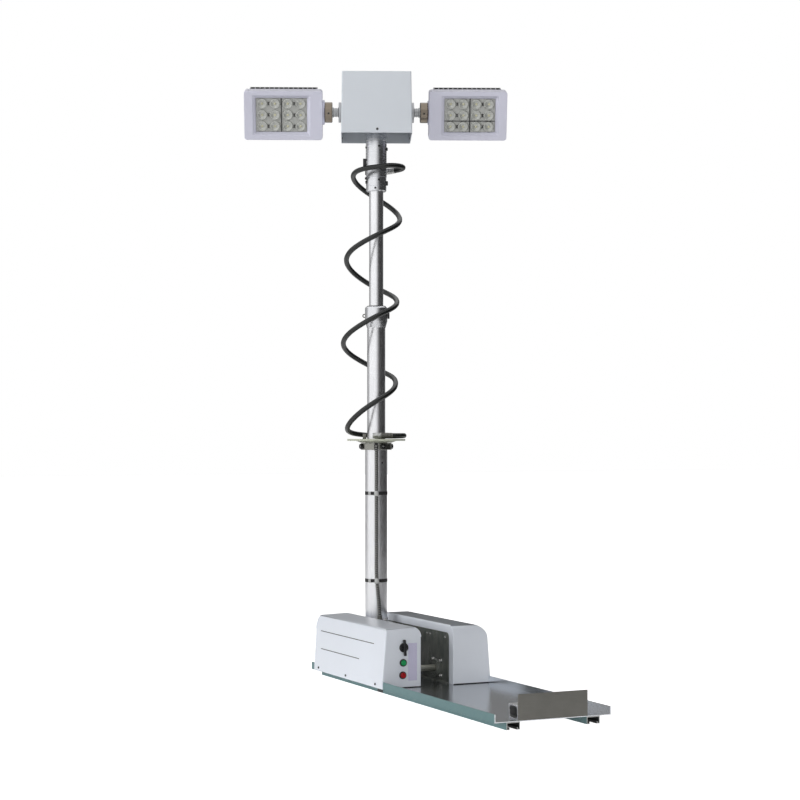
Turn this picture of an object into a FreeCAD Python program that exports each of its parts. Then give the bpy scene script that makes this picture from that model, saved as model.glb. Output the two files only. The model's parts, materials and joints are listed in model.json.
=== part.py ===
"""Roof-mounted mobile light tower: a tray with two housings, a folding telescopic mast and two lamps.

Lengths are in millimetres. Four working frames are used, all with z measured from the tray's underside:
  tray  x runs along the tray from its mast end, y runs across it from the control side
  mast  the same directions, centred on the mast
  head  centred on the mast and turned to face where the lamps look, with the arms along y
  lamp  the head's frame, leant forward about the arms' shaft
"""
import FreeCAD, Part
import math
import os
import Sketcher
from types import SimpleNamespace

from FreeCAD import Placement, Rotation, Vector

doc = FreeCAD.newDocument("LightTower")

# Driving dimensions

DIMENSIONS = {
    # tray and the two strut rails under it
    "tray_long": 1273,
    "tray_lip": 24,
    "tray_sheet": 3,
    "rail_wide": 41,
    "rail_deep": 21,
    "rail_wall": 2.5,
    "rail_lip": 9.5,
    "rail_hook": 7,
    "rail_inset": 36,
    "pad_inset": 122,
    "pad_long": 42,
    # housings beside the mast trough
    "cover_start": 28,
    "cover_long": 535,
    "cover_top": 183,
    "cover_skirt": 2,
    "cover_straight": 26,
    "cover_lean": 12,
    "cover_wall": 2.5,
    "front_gap_face": 127,
    "rear_cover_wide": 125,
    "trough_clear": 29,
    "end_round": 50,
    "trough_round": 33,
    "edge_round": 6,
    "fold_round": 4,
    "shoulder_round": 46,
    "nose_round": 30,
    "arch_band": 25,
    "arch_post": 30,
    "arch_round": 15,
    # steel side plates and what they carry
    "plate_thick": 3,
    "plate_recess": 4,
    "plate_lap": 1,
    "plate_inset": 12,
    "foot_strip": 15,
    "bearing_wide": 52,
    "bearing_thick": 12,
    "cross_inset": 124,
    "cross_height": 42,
    "cross_round": 20,
    "shaft_end": 2,
    "flange_wide": 64,
    "flange_high": 58,
    "flange_thick": 8,
    # rest bracket at the free end
    "rest_wide": 50,
    "rest_high": 40,
    "rest_wall": 4,
    "rest_round": 9,
    "rest_start": 71,
    "rest_far": 74,
    "stop_high": 70,
    "stop_thick": 3,
    # controls on the end of the front housing
    "control_inset": 60,
    "selector_height": 122,
    "selector_round": 28,
    "selector_thick": 5,
    "handle_long": 49,
    "handle_wide": 9,
    "handle_proud": 13,
    "green_height": 78,
    "red_height": 40,
    "button_round": 22,
    "button_proud": 8,
    # drive masses closed inside the housings
    "gear_inset": 34,
    "gear_long": 120,
    "gear_side": 33.7,
    "gear_drop": 33,
    "motor_side": 4,
    "motor_tail": 192,
    "compressor_inset": 202,
    "compressor_tail": 93,
    "compressor_side": 28,
    "compressor_drop": 53,
    # mast, lower part
    "pivot_inset": 84.5,
    "pivot_drop": 53,
    "pivot_round": 24,
    "pivot_keyed": 16,
    "foot_wall": 3.5,
    "foot_under": 35,
    "foot_over": 16,
    "foot_socket": 26,
    "foot_boss": 44,
    "cheek_gap": 3,
    "lower_round": 72,
    "lower_long": 600,
    "tube_wall": 3,
    "disc_round": 189,
    "disc_thick": 6,
    "disc_hub": 16,
    "cone_drop": 6,
    "cone_top": 132,
    "clamp_wall": 14,
    "clamp_drop": 29,
    "clamp_high": 22,
    "conduit_round": 11,
    "conduit_slot": 14,
    "band_thick": 1.2,
    "band_high": 9,
    "band_rise": 115,
    "band_drop": 174,
    "gland_round": 22,
    "gland_long": 24,
    "gland_body": 19,
    "gland_nut_long": 10,
    "gland_beside": 17,
    # mast, telescopic stages
    "stage_step": 13,
    "middle_lap": 97,
    "middle_long": 525,
    "collar_wall": 7,
    "collar_lap": 60,
    "collar_over": 9,
    "collar_taper": 22,
    "collar_bevel": 6.5,
    "guide_high": 22,
    "inner_lap": 122,
    "inner_long": 590,
    "neck_wall": 11,
    "neck_lap": 85,
    "neck_long": 163,
    "neck_low": 46,
    "neck_step": 1,
    "neck_bevel": 4,
    "pan_shaft": 30,
    "pan_shaft_long": 60,
    "pan_gap": 0.5,
    "top_gland_rise": 71,
    "top_gland_turn": 160,
    # turning head
    "aim_angle": 23.6,
    "spigot_rise": 47,
    "spigot_flange": 92,
    "spigot_flange_thick": 8,
    "head_lift": 12,
    "head_high": 197,
    "head_wide_base": 228,
    "head_taper": 6,
    "head_deep": 220,
    "head_wall": 2,
    "head_round": 4,
    "gearbox_long": 110,
    "gearbox_wide": 100,
    "arm_rise": 95,
    "arm_hole": 34,
    "arm_flange": 65,
    "arm_flange_thick": 9,
    # lamps on the tilting shaft
    "shaft_round": 27,
    "shaft_neck": 20,
    "brass_round": 66,
    "brass_thick": 25,
    "side_plate_high": 75,
    "side_plate_deep": 50,
    "side_plate_thick": 8.5,
    "side_plate_round": 8,
    "lamp_wide": 253,
    "lamp_high": 158,
    "lamp_front": 40,
    "lamp_back": 15,
    "lamp_round": 9,
    "lamp_lean": 18,
    "window_outer": 37,
    "window_inner": 50,
    "window_over": 24,
    "window_under": 25,
    "window_deep": 14,
    "bezel_bevel": 10,
    "panel_thick": 4,
    "lens_gap": 4,
    "lens_high": 5,
    "lens_sides": 16,
    "fin_deep": 40,
    "fin_thick": 3,
    "fin_count": 15,
    "fin_margin": 16.5,
    "fin_over": 1,
    "fin_web": 5,
    "fin_lift": 4,
    # spiral cable
    "cable_round": 16.5,
    # clearances
    "running_fit": 0.05,
    "free_fit": 0.3,
    "shaft_clear": 3,
}


class Size:
    """A length that knows its number and the sheet expression that gives it."""

    def __init__(self, number, text):
        self.number = number
        self.text = text

    def __add__(self, other):
        other = sized(other)
        return Size(self.number + other.number, f"({self.text} + {other.text})")

    def __sub__(self, other):
        other = sized(other)
        return Size(self.number - other.number, f"({self.text} - {other.text})")

    def __mul__(self, other):
        other = sized(other)
        return Size(self.number * other.number, f"({self.text} * {other.text})")

    def __truediv__(self, other):
        other = sized(other)
        return Size(self.number / other.number, f"({self.text} / {other.text})")

    def __radd__(self, other):
        return sized(other) + self

    def __rsub__(self, other):
        return sized(other) - self

    def __rmul__(self, other):
        return sized(other) * self

    def __neg__(self):
        return Size(-self.number, f"(0 - {self.text})")


def sized(value):
    return value if isinstance(value, Size) else Size(float(value), f"({float(value)})")


def sine(angle):
    return Size(math.sin(math.radians(angle.number)), f"sin({angle.text})")


def cosine(angle):
    return Size(math.cos(math.radians(angle.number)), f"cos({angle.text})")


def root(size):
    return Size(math.sqrt(size.number), f"sqrt({size.text})")


def write_sheet(dimensions):
    """Puts each dimension in a cell of its own and hands back sizes tied to those cells."""
    sheet = doc.addObject("Spreadsheet::Sheet", "Sizes")
    for row, (name, value) in enumerate(dimensions.items(), start=1):
        sheet.set(f"A{row}", name.replace("_", " "))
        sheet.set(f"B{row}", str(value))
        sheet.setAlias(f"B{row}", name)
    doc.recompute()
    return SimpleNamespace(**{n: Size(float(getattr(sheet, n)), f"Sizes.{n}") for n in dimensions})


S = write_sheet(DIMENSIONS)

# Sizes that follow from others through a named step or clearance

S.foot_round = S.lower_round + S.foot_wall * 2
S.trough_wide = S.foot_round + S.trough_clear
S.rear_gap_face = S.front_gap_face + S.trough_wide
S.tray_width = S.rear_gap_face + S.rear_cover_wide
S.rest_long = S.tray_width - S.rest_start - S.rest_far
S.mast_across = S.front_gap_face + S.trough_wide / 2
S.mast_along = S.cover_start + S.pivot_inset
S.pivot_height = S.cover_top - S.pivot_drop
cover_end = S.cover_start + S.cover_long
S.pad_start = cover_end - S.pad_inset
front_plate = S.front_gap_face - S.plate_recess - S.plate_thick
rear_plate = S.rear_gap_face + S.plate_recess
S.cross_along = cover_end - S.cross_inset
S.control_across = S.front_gap_face - S.control_inset

S.foot_base = S.pivot_height - S.foot_under
S.foot_floor = S.pivot_height + S.foot_over
S.foot_rim = S.foot_floor + S.foot_socket
S.lower_top = S.foot_floor + S.lower_long
S.disc_base = S.lower_top
disc_top = S.disc_base + S.disc_thick
cone_base = S.disc_base - S.cone_drop
S.clamp_round = S.lower_round + S.clamp_wall * 2
S.clamp_base = S.disc_base - S.clamp_drop
S.gland_out = S.lower_round / 2 + S.gland_beside
S.middle_round = S.lower_round - S.stage_step
S.middle_base = S.lower_top - S.middle_lap
S.middle_top = S.middle_base + S.middle_long
S.collar_round = S.middle_round + S.collar_wall * 2
S.collar_base = S.middle_top - S.collar_lap
S.collar_top = S.middle_top + S.collar_over
S.inner_round = S.middle_round - S.stage_step
S.inner_base = S.middle_top - S.inner_lap
S.inner_top = S.inner_base + S.inner_long
S.neck_round = S.inner_round + S.neck_wall * 2
S.neck_base = S.inner_top - S.neck_lap
S.neck_top = S.neck_base + S.neck_long
S.top_gland_height = S.neck_base + S.top_gland_rise
S.spigot_top = S.neck_top + S.spigot_rise
S.head_base = S.neck_top + S.head_lift
S.head_top = S.head_base + S.head_high
S.arm_height = S.neck_top + S.arm_rise
S.head_wide_top = S.head_wide_base - S.head_taper

lamp_centre = (
    S.head_wide_base / 2
    + S.arm_flange_thick
    + S.shaft_neck
    + S.brass_thick
    + S.side_plate_thick
    + S.lamp_wide / 2
    - 0.5
)
lamp_edge = lamp_centre - S.lamp_wide / 2
lamp_reach = lamp_centre + S.lamp_wide / 2
back_reach = S.lamp_back + S.fin_deep
arm_face = lamp_edge - S.side_plate_thick - S.brass_thick - S.shaft_neck - S.arm_flange_thick
S.window_wide = S.lamp_wide - S.window_outer - S.window_inner
S.window_high = S.lamp_high - S.window_over - S.window_under
S.lens_pitch_y = S.window_wide / 4
S.lens_pitch_z = S.window_high / 3
S.lens_round = S.lens_pitch_z - S.lens_gap
S.fin_high = S.lamp_high + S.fin_over
fin_span = S.lamp_wide - S.fin_margin * 2
S.fin_pitch = (fin_span - S.fin_thick) / (S.fin_count - 1)

# The model's origin is under the middle of the whole object, at the rails' feet. The lamps lean forward, so
# the fins' lower ends reach furthest back and a point on a lamp's round upper corner reaches furthest across.
back_extent = back_reach * cosine(S.lamp_lean) + (S.lamp_high / 2 - S.fin_lift) * sine(S.lamp_lean)
left_reach = (S.mast_along - (lamp_centre + fin_span / 2) * sine(S.aim_angle)
              - back_extent * cosine(S.aim_angle))
origin_along = (left_reach + S.tray_long) / 2
sideways, upwards = cosine(S.aim_angle), sine(S.aim_angle) * sine(S.lamp_lean)
front_edge = ((lamp_reach - S.lamp_round) * sideways + (S.lamp_high / 2 - S.lamp_round) * upwards
              + S.lamp_round * root(sideways * sideways + upwards * upwards)
              + S.lamp_front * sine(S.aim_angle) * cosine(S.lamp_lean))
rear_edge = (lamp_centre + fin_span / 2) * cosine(S.aim_angle) + back_extent * sine(S.aim_angle)
origin_across = S.mast_across + (rear_edge - front_edge) / 2
FRAMES = {
    "tray": (-origin_along, -origin_across, sized(0)),
    "mast": (S.mast_along - origin_along, S.mast_across - origin_across, sized(0)),
    "head": (S.mast_along - origin_along, S.mast_across - origin_across, -S.aim_angle),
}
NODES = []

# Building blocks


def bind(thing, path, size):
    """Ties one property to the sheet; a bare number is simply set."""
    if "Sizes." in size.text:
        thing.setExpression(path, size.text)


def place(thing, x=0, y=0, z=0, axis=(0, 0, 1), angle=0):
    spot = [sized(x), sized(y), sized(z)]
    turn = sized(angle)
    thing.Placement = Placement(Vector(*[c.number for c in spot]), Rotation(Vector(*axis), turn.number))
    for letter, coordinate in zip("xyz", spot):
        bind(thing, f"Placement.Base.{letter}", coordinate)


def settle(thing, label, frame):
    """Names a finished sub-part and puts its working frame into the model's frame."""
    if frame == "lamp":
        thing, frame = leaned(thing), "head"
    along, across, turn = FRAMES[frame]
    if thing.TypeId in ("Part::Box", "Part::Cylinder"):
        piece = thing
        thing = doc.addObject("Part::Compound", f"{piece.Name}_placed")
        thing.Links = [piece]
    thing.Label = label
    place(thing, along, across, S.rail_deep, angle=turn)
    NODES.append(thing)


def leaned(thing):
    """Leans a lamp piece forward about the arms, and wraps it so that it can be placed as a whole."""
    arm, lean = S.arm_height, S.lamp_lean
    place(thing, -arm * sine(lean), 0, arm - arm * cosine(lean), (0, 1, 0), lean)
    whole = doc.addObject("Part::Compound", f"{thing.Name}_leaned")
    whole.Links = [thing]
    return whole


def box(name, x, y, z, long, wide, high):
    """A block given by its lowest corner and its three sides."""
    block = doc.addObject("Part::Box", name)
    for side, size in (("Length", sized(long)), ("Width", sized(wide)), ("Height", sized(high))):
        setattr(block, side, size.number)
        bind(block, side, size)
    place(block, x, y, z)
    return block


TURNS = {"x": ((0, 1, 0), 90), "y": ((1, 0, 0), -90), "z": ((0, 0, 1), 0)}


def rod(name, across, long, x, y, z, along="z"):
    """A cylinder of diameter across that starts at a point and runs along one axis."""
    bar = doc.addObject("Part::Cylinder", name)
    radius, length = sized(across) / 2, sized(long)
    bar.Radius, bar.Height = radius.number, length.number
    bind(bar, "Radius", radius)
    bind(bar, "Height", length)
    axis, angle = TURNS[along]
    place(bar, x, y, z, axis, angle)
    return bar


def joined(name, pieces):
    union = doc.addObject("Part::MultiFuse", name)
    union.Shapes = pieces
    return union


def less(name, base, tools):
    """The base with each tool cut away."""
    for number, tool in enumerate(tools, start=1):
        cut = doc.addObject("Part::Cut", name if number == len(tools) else f"{name}_step{number}")
        cut.Base, cut.Tool = base, tool
        base = cut
    return base


def origin_plane(body, role):
    return next(f for f in body.Origin.OriginFeatures if f.Role == role)


def draw(sketch, outline):
    """Closes straight lines through the outline's points, each one held by two sized distances."""
    first = sketch.GeometryCount
    count = len(outline)
    points = [Vector(a.number, b.number, 0) for a, b in outline]
    for k in range(count):
        sketch.addGeometry(Part.LineSegment(points[k], points[(k + 1) % count]), False)
    for k in range(count):
        sketch.addConstraint(Sketcher.Constraint("Coincident", first + k, 2, first + (k + 1) % count, 1))
    for k, (a, b) in enumerate(outline):
        for kind, size in (("DistanceX", a), ("DistanceY", b)):
            held = sketch.addConstraint(Sketcher.Constraint(kind, -1, 1, first + k, 1, size.number))
            bind(sketch, f"Constraints[{held}]", size)


def sketched(name, role, outlines):
    """A body with one sketch of closed outlines on one of its own planes."""
    body = doc.addObject("PartDesign::Body", name)
    sketch = body.newObject("Sketcher::SketchObject", f"{name}_outline")
    sketch.AttachmentSupport = [(origin_plane(body, role), "")]
    sketch.MapMode = "FlatFace"
    for outline in outlines:
        draw(sketch, [(sized(a), sized(b)) for a, b in outline])
    return body, sketch


def extruded(name, role, outlines, long, backwards=False):
    """A body padded from a sketch; backwards turns the pad round."""
    body, sketch = sketched(name, role, outlines)
    pad = body.newObject("PartDesign::Pad", f"{name}_pad")
    pad.Profile = sketch
    pad.Length = sized(long).number
    bind(pad, "Length", sized(long))
    pad.Reversed = backwards
    doc.recompute()
    return body


def turned(name, outline):
    """A body of revolution about z, from an outline of radius and height."""
    body, sketch = sketched(name, "XZ_Plane", [outline])
    spin = body.newObject("PartDesign::Revolution", f"{name}_spin")
    spin.Profile = sketch
    spin.ReferenceAxis = (sketch, ["V_Axis"])
    spin.Angle = 360
    doc.recompute()
    return body


def rounded(body, radius, chosen):
    """Rounds the edges of the body's tip that pass the test, which is given each edge's two ends."""
    doc.recompute()
    tip = body.Tip
    names = []
    for number, edge in enumerate(tip.Shape.Edges, start=1):
        ends = [v.Point for v in edge.Vertexes]
        if len(ends) == 2 and chosen(*ends):
            names.append(f"Edge{number}")
    fillet = body.newObject("PartDesign::Fillet", f"{body.Name}_round")
    fillet.Base = (tip, names)
    fillet.Radius = sized(radius).number
    bind(fillet, "Radius", sized(radius))
    doc.recompute()
    return body


def near(a, b):
    return abs(a - b) < 0.01


# Tray, rails and pads


def make_tray():
    wide, lip, sheet = S.tray_width, S.tray_lip, S.tray_sheet
    section = [
        (0, 0), (wide, 0), (wide, lip), (wide - sheet, lip),
        (wide - sheet, sheet), (sheet, sheet), (sheet, lip), (0, lip),
    ]
    settle(extruded("Tray", "YZ_Plane", [section], S.tray_long), "tray", "tray")


def rail_section(start):
    """A strut channel, open downwards, with lips that turn up inside."""
    wide, deep, wall, lip, hook = S.rail_wide, S.rail_deep, S.rail_wall, S.rail_lip, S.rail_hook
    half = [
        (wide, sized(0)), (wide, -deep), (wide - lip, -deep), (wide - lip, hook - deep),
        (wide - lip + wall, hook - deep), (wide - lip + wall, wall - deep),
        (wide - wall, wall - deep), (wide - wall, -wall),
    ]
    mirrored = [(wide - y, z) for y, z in reversed(half)]
    return [(start + y, z) for y, z in half + mirrored]


def make_rails():
    rear_start = S.tray_width - S.rail_inset - S.rail_wide
    pads = []
    for side, start in (("front", S.rail_inset), ("rear", rear_start)):
        rail = extruded(f"Rail_{side}", "YZ_Plane", [rail_section(start)], S.tray_long)
        gap = box(f"Rail_gap_{side}", S.pad_start, start - 1, -S.rail_deep - 1,
                  S.pad_long, S.rail_wide + 2, S.rail_deep + 1)
        settle(less(f"Rail_{side}_cut", rail, [gap]), f"rail_{side}", "tray")
        pads.append(box(f"Pad_{side}", S.pad_start, start, -S.rail_deep,
                        S.pad_long, S.rail_wide, S.rail_deep))
    settle(joined("Pads", pads), "rail_pads", "tray")


# Housings


def cover_outlines(outer, gap, side):
    """Outer and inner section of a housing; side is 1 where y grows from the outer wall to the trough."""
    wall, sheet = S.cover_wall, S.tray_sheet
    top, straight, lean, lip = S.cover_top, S.cover_straight, S.cover_lean, S.tray_lip
    outside = [
        (outer - wall * side, S.cover_skirt), (outer - wall * side, straight),
        (outer + (lean - wall) * side, top), (gap, top), (gap, sheet),
        (outer + sheet * side, sheet), (outer + sheet * side, lip), (outer, lip),
        (outer, S.cover_skirt),
    ]
    inside = [
        (outer, lip), (outer, straight), (outer + lean * side, top - wall),
        (gap - wall * side, top - wall), (gap - wall * side, sheet - 2),
        (outer + sheet * side, sheet - 2), (outer + sheet * side, lip),
    ]
    return outside, inside


def cover_form(name, section, edges, top, start, long, radii):
    """Crosses a housing's section with its side view, so that each keeps its own round corners."""
    trough, outer, mast_end, free_end = radii
    run = extruded(f"{name}_run", "YZ_Plane", [section], long)
    for radius, across in zip((trough, outer), edges):
        rounded(run, radius,
                lambda a, b: all(near(p.y, across.number) and near(p.z, top.number) for p in (a, b)))
    place(run, start)
    below = S.cover_skirt - 2
    side = extruded(f"{name}_side", "XZ_Plane",
                    [[(0, below), (long, below), (long, top), (0, top)]], S.tray_width * 2, True)
    for radius, edge in ((mast_end, sized(0)), (free_end, long)):
        rounded(side, radius,
                lambda a, b: all(near(p.x, edge.number) and near(p.z, top.number) for p in (a, b)))
    place(side, start, -S.tray_width / 2)
    form = doc.addObject("Part::MultiCommon", name)
    form.Shapes = [run, side]
    return form


def make_cover(label, outer, gap, side, radii):
    outside, inside = cover_outlines(outer, gap, side)
    wall, lean = S.cover_wall, S.cover_lean
    shell = cover_form(f"{label}_shell", outside, (gap, outer + (lean - wall) * side), S.cover_top,
                       S.cover_start, S.cover_long, radii)
    room = cover_form(f"{label}_room", inside, (gap - wall * side, outer + lean * side), S.cover_top - wall,
                      S.cover_start + wall, S.cover_long - wall * 2, [r - wall for r in radii])
    settle(less(label, shell, [room, arch(label, gap, side)]), label, "tray")


def arch(label, gap, side):
    """The open arch in the trough wall, with its two upper corners rounded."""
    long = S.cover_long - S.arch_post * 2
    top = S.cover_top - S.arch_band
    deep = (S.cover_wall + S.plate_recess) * 2
    body = extruded(f"{label}_arch", "XZ_Plane",
                    [[(0, 0), (long, 0), (long, top), (0, top)]], deep, backwards=True)
    rounded(body, S.arch_round, lambda a, b: near(a.x, b.x) and near(a.z, top.number) and near(b.z, top.number))
    place(body, S.cover_start + S.arch_post, gap - deep / 2, 0)
    return body


def make_side_plate(label, face, strip):
    """A steel plate behind the arch with holes for both shafts and a foot strip on the tray."""
    top = S.cover_top - S.arch_band + S.plate_lap
    sheet = S.tray_sheet
    plate = box(f"{label}_sheet", S.cover_start + S.plate_inset, face, sheet,
                S.cover_long - S.plate_inset * 2, S.plate_thick, top - sheet)
    foot = box(f"{label}_foot", S.cover_start + S.arch_post + 1, strip, sheet,
               S.cover_long - S.arch_post * 2 - 2, S.foot_strip, S.plate_thick)
    deep = S.plate_thick + 2
    pivot = rod(f"{label}_pivot_hole", S.pivot_round + S.shaft_clear * 2, deep,
                S.mast_along, face - 1, S.pivot_height, "y")
    cross = rod(f"{label}_cross_hole", S.cross_round + S.free_fit * 2, deep,
                S.cross_along, face - 1, S.cross_height, "y")
    settle(less(label, joined(f"{label}_whole", [plate, foot]), [pivot, cross]), label, "tray")


def make_housings():
    make_cover("front_cover", sized(0), S.front_gap_face, 1,
               (S.trough_round, S.edge_round, S.end_round, S.edge_round))
    make_cover("rear_cover", S.tray_width, S.rear_gap_face, -1,
               (S.fold_round, S.shoulder_round, S.end_round, S.nose_round))
    make_side_plate("front_side_plate", front_plate, front_plate + S.plate_thick)
    make_side_plate("rear_side_plate", rear_plate, rear_plate - S.foot_strip)


def make_trough_parts():
    """Pivot bearings, the cross shaft and its flanges, all between the two side plates."""
    wide, thick = S.bearing_wide, S.bearing_thick
    inner, outer = front_plate + S.plate_thick, rear_plate
    bearings = []
    flanges = []
    for side, bearing_at, flange_at in (
        ("front", inner, inner),
        ("rear", outer - thick, outer - S.flange_thick),
    ):
        block = box(f"Bearing_{side}", S.mast_along - wide / 2, bearing_at, S.pivot_height - wide / 2,
                    wide, thick, wide)
        bore = rod(f"Bearing_bore_{side}", S.pivot_round + S.running_fit * 2, thick + 2,
                   S.mast_along, bearing_at - 1, S.pivot_height, "y")
        bearings.append(less(f"Bearing_cut_{side}", block, [bore]))
        plate = box(f"Flange_{side}", S.cross_along - S.flange_wide / 2, flange_at,
                    S.cross_height - S.flange_high / 2, S.flange_wide, S.flange_thick, S.flange_high)
        hole = rod(f"Flange_hole_{side}", S.cross_round + S.running_fit * 2, S.flange_thick + 2,
                   S.cross_along, flange_at - 1, S.cross_height, "y")
        flanges.append(less(f"Flange_cut_{side}", plate, [hole]))
    settle(joined("Bearings", bearings), "pivot_bearings", "tray")
    settle(joined("Flanges", flanges), "shaft_flanges", "tray")
    ends = S.plate_thick + S.shaft_end
    settle(rod("Cross", S.cross_round, outer - inner + ends * 2, S.cross_along, inner - ends,
               S.cross_height, "y"), "cross_shaft", "tray")


def make_rest():
    """The square tube that the folded mast lies over, and the plate behind it."""
    start = S.tray_long - S.stop_thick - S.rest_wide
    sheet, wall = S.tray_sheet, S.rest_wall
    outer = extruded("Rest_outer", "XZ_Plane", [[
        (0, 0), (S.rest_wide, 0), (S.rest_wide, S.rest_high), (0, S.rest_high)]], S.rest_long, True)
    inner = extruded("Rest_inner", "XZ_Plane", [[
        (wall, wall), (S.rest_wide - wall, wall),
        (S.rest_wide - wall, S.rest_high - wall), (wall, S.rest_high - wall)]], S.rest_long + 2, True)
    rounded(inner, S.rest_round, lambda a, b: near(a.x, b.x) and near(a.z, b.z))
    place(outer, start, S.rest_start, sheet)
    place(inner, start, S.rest_start - 1, sheet)
    settle(less("Rest", outer, [inner]), "rest_tube", "tray")
    settle(box("Stop", S.tray_long - S.stop_thick, S.rest_start, sheet,
               S.stop_thick, S.rest_long, S.stop_high), "stop_plate", "tray")


def make_controls():
    """A rotary selector over two push buttons on the end wall of the front housing."""
    across, face = S.control_across, cover_end
    disc = rod("Selector_disc", S.selector_round, S.selector_thick, face, across, S.selector_height, "x")
    handle = box("Selector_handle", face, across - S.handle_wide / 2,
                 S.selector_height - S.handle_long / 2, S.handle_proud, S.handle_wide, S.handle_long)
    settle(joined("Selector", [disc, handle]), "selector_switch", "tray")
    for colour, height in (("green", S.green_height), ("red", S.red_height)):
        ring = rod(f"Ring_{colour}", S.button_round, S.button_proud * 0.4, face, across, height, "x")
        cap = rod(f"Cap_{colour}", S.button_round * 0.8, S.button_proud, face, across, height, "x")
        settle(joined(f"Button_{colour}", [ring, cap]), f"{colour}_button", "tray")


def make_drives():
    """Plain masses at their real places: the tilt gear and motor, and the air compressor."""
    face = rear_plate + S.plate_thick + S.free_fit
    gear_start = S.cover_start + S.gear_inset
    gear_wide = S.tray_width - face - S.gear_side
    motor_start = gear_start + S.gear_long - 1
    motor_round = gear_wide - S.motor_side * 2
    gear = box("Gear", gear_start, face, S.tray_sheet, S.gear_long, gear_wide, S.cover_top - S.gear_drop)
    motor = rod("Motor", motor_round, cover_end - S.motor_tail - motor_start, motor_start,
                face + gear_wide / 2, S.tray_sheet + motor_round / 2, "x")
    bore = rod("Gear_bore", S.pivot_round + S.free_fit * 2, gear_wide / 2,
               S.mast_along, face - 1, S.pivot_height, "y")
    settle(less("Gearmotor", joined("Gear_and_motor", [gear, motor]), [bore]), "tilt_gearmotor", "tray")
    start = S.cover_start + S.compressor_inset
    settle(box("Compressor", start, S.compressor_side, S.tray_sheet,
               cover_end - S.compressor_tail - start, front_plate - S.shaft_end * 3 - S.compressor_side,
               S.cover_top - S.compressor_drop), "compressor", "tray")


# Mast


def make_foot():
    """A round socket for the lower tube, cross-bored for the pivot shaft, with flat cheeks."""
    radius, wall = S.foot_round / 2, S.foot_rim - S.foot_floor
    bore = S.lower_round / 2 + S.running_fit
    body = turned("Foot_body", [
        (0, S.foot_base), (radius, S.foot_base), (radius, S.foot_rim),
        (bore, S.foot_rim), (bore, S.foot_rim - wall), (0, S.foot_floor)])
    cheek = rear_plate - front_plate - S.plate_thick - (S.bearing_thick + S.cheek_gap) * 2
    cheeks = rod("Foot_cheeks", S.foot_boss, cheek, 0, -cheek / 2, S.pivot_height, "y")
    hole = rod("Foot_hole", S.pivot_round + S.running_fit * 2, cheek + 2, 0,
               -cheek / 2 - 1, S.pivot_height, "y")
    room = rod("Foot_room", S.lower_round + S.running_fit * 2, wall + 2, 0, 0, S.foot_floor)
    settle(less("Foot", joined("Foot_whole", [body, cheeks]), [hole, room]), "mast_foot", "mast")
    first = front_plate - S.mast_across - S.shaft_end * 2
    last = rear_plate + S.plate_thick - S.mast_across + S.pivot_keyed
    settle(rod("Pivot", S.pivot_round, last - first, 0, first, S.pivot_height, "y"), "pivot_shaft", "mast")


def make_lower_tube():
    outer = S.lower_round / 2
    inner = outer - S.tube_wall
    settle(turned("Lower", [
        (inner, S.foot_floor), (outer, S.foot_floor), (outer, S.lower_top), (inner, S.lower_top)]),
        "lower_tube", "mast")


def make_disc():
    """The cable disc on the tube's top, with a cone under it and a hub inside that guides the middle stage."""
    hub = S.lower_round / 2 - S.tube_wall - S.running_fit
    bore = S.middle_round / 2 + S.running_fit
    around = S.lower_round / 2 + S.running_fit
    settle(turned("Disc", [
        (bore, disc_top), (S.disc_round / 2, disc_top), (S.disc_round / 2, S.disc_base),
        (S.cone_top / 2, S.disc_base), (S.clamp_round / 2, cone_base), (around, cone_base),
        (around, S.disc_base), (hub, S.disc_base), (hub, S.disc_base - S.disc_hub),
        (bore, S.disc_base - S.disc_hub)]), "disc_plate", "mast")


def make_clamp():
    """The ring that grips the tube under the disc, slotted where the conduit passes."""
    ring = turned("Clamp_ring", [
        (S.lower_round / 2 + S.running_fit, S.clamp_base), (S.clamp_round / 2, S.clamp_base),
        (S.clamp_round / 2, S.clamp_base + S.clamp_high),
        (S.lower_round / 2 + S.running_fit, S.clamp_base + S.clamp_high)])
    slot = box("Clamp_slot", 0, -S.conduit_slot / 2, S.clamp_base - 1,
               S.clamp_round, S.conduit_slot, S.clamp_high + 2)
    settle(less("Clamp", ring, [slot]), "disc_clamp", "head")


def make_conduit():
    """The corrugated conduit up the lamp side of the lower tube, and the two bands that hold it."""
    out = S.lower_round / 2 + S.conduit_round / 2 + S.free_fit
    settle(rod("Conduit", S.conduit_round, cone_base - S.foot_rim, out, 0, S.foot_rim),
           "conduit", "head")
    bands = []
    for name, level in (("low", S.foot_rim + S.band_rise), ("upper", S.disc_base - S.band_drop)):
        around_tube = rod(f"Band_{name}", S.lower_round + S.band_thick * 2, S.band_high, 0, 0, level)
        around_pipe = rod(f"Loop_{name}", S.conduit_round + S.band_thick * 2, S.band_high, out, 0, level)
        tube_room = rod(f"Band_room_{name}", S.lower_round + S.running_fit * 2, S.band_high + 2,
                        0, 0, level - 1)
        pipe_room = rod(f"Loop_room_{name}", S.conduit_round + S.running_fit * 2, S.band_high + 2,
                        out, 0, level - 1)
        bands.append(less(f"Band_cut_{name}", joined(f"Band_whole_{name}", [around_tube, around_pipe]),
                          [tube_room, pipe_room]))
    settle(joined("Bands", bands), "conduit_bands", "head")


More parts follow.
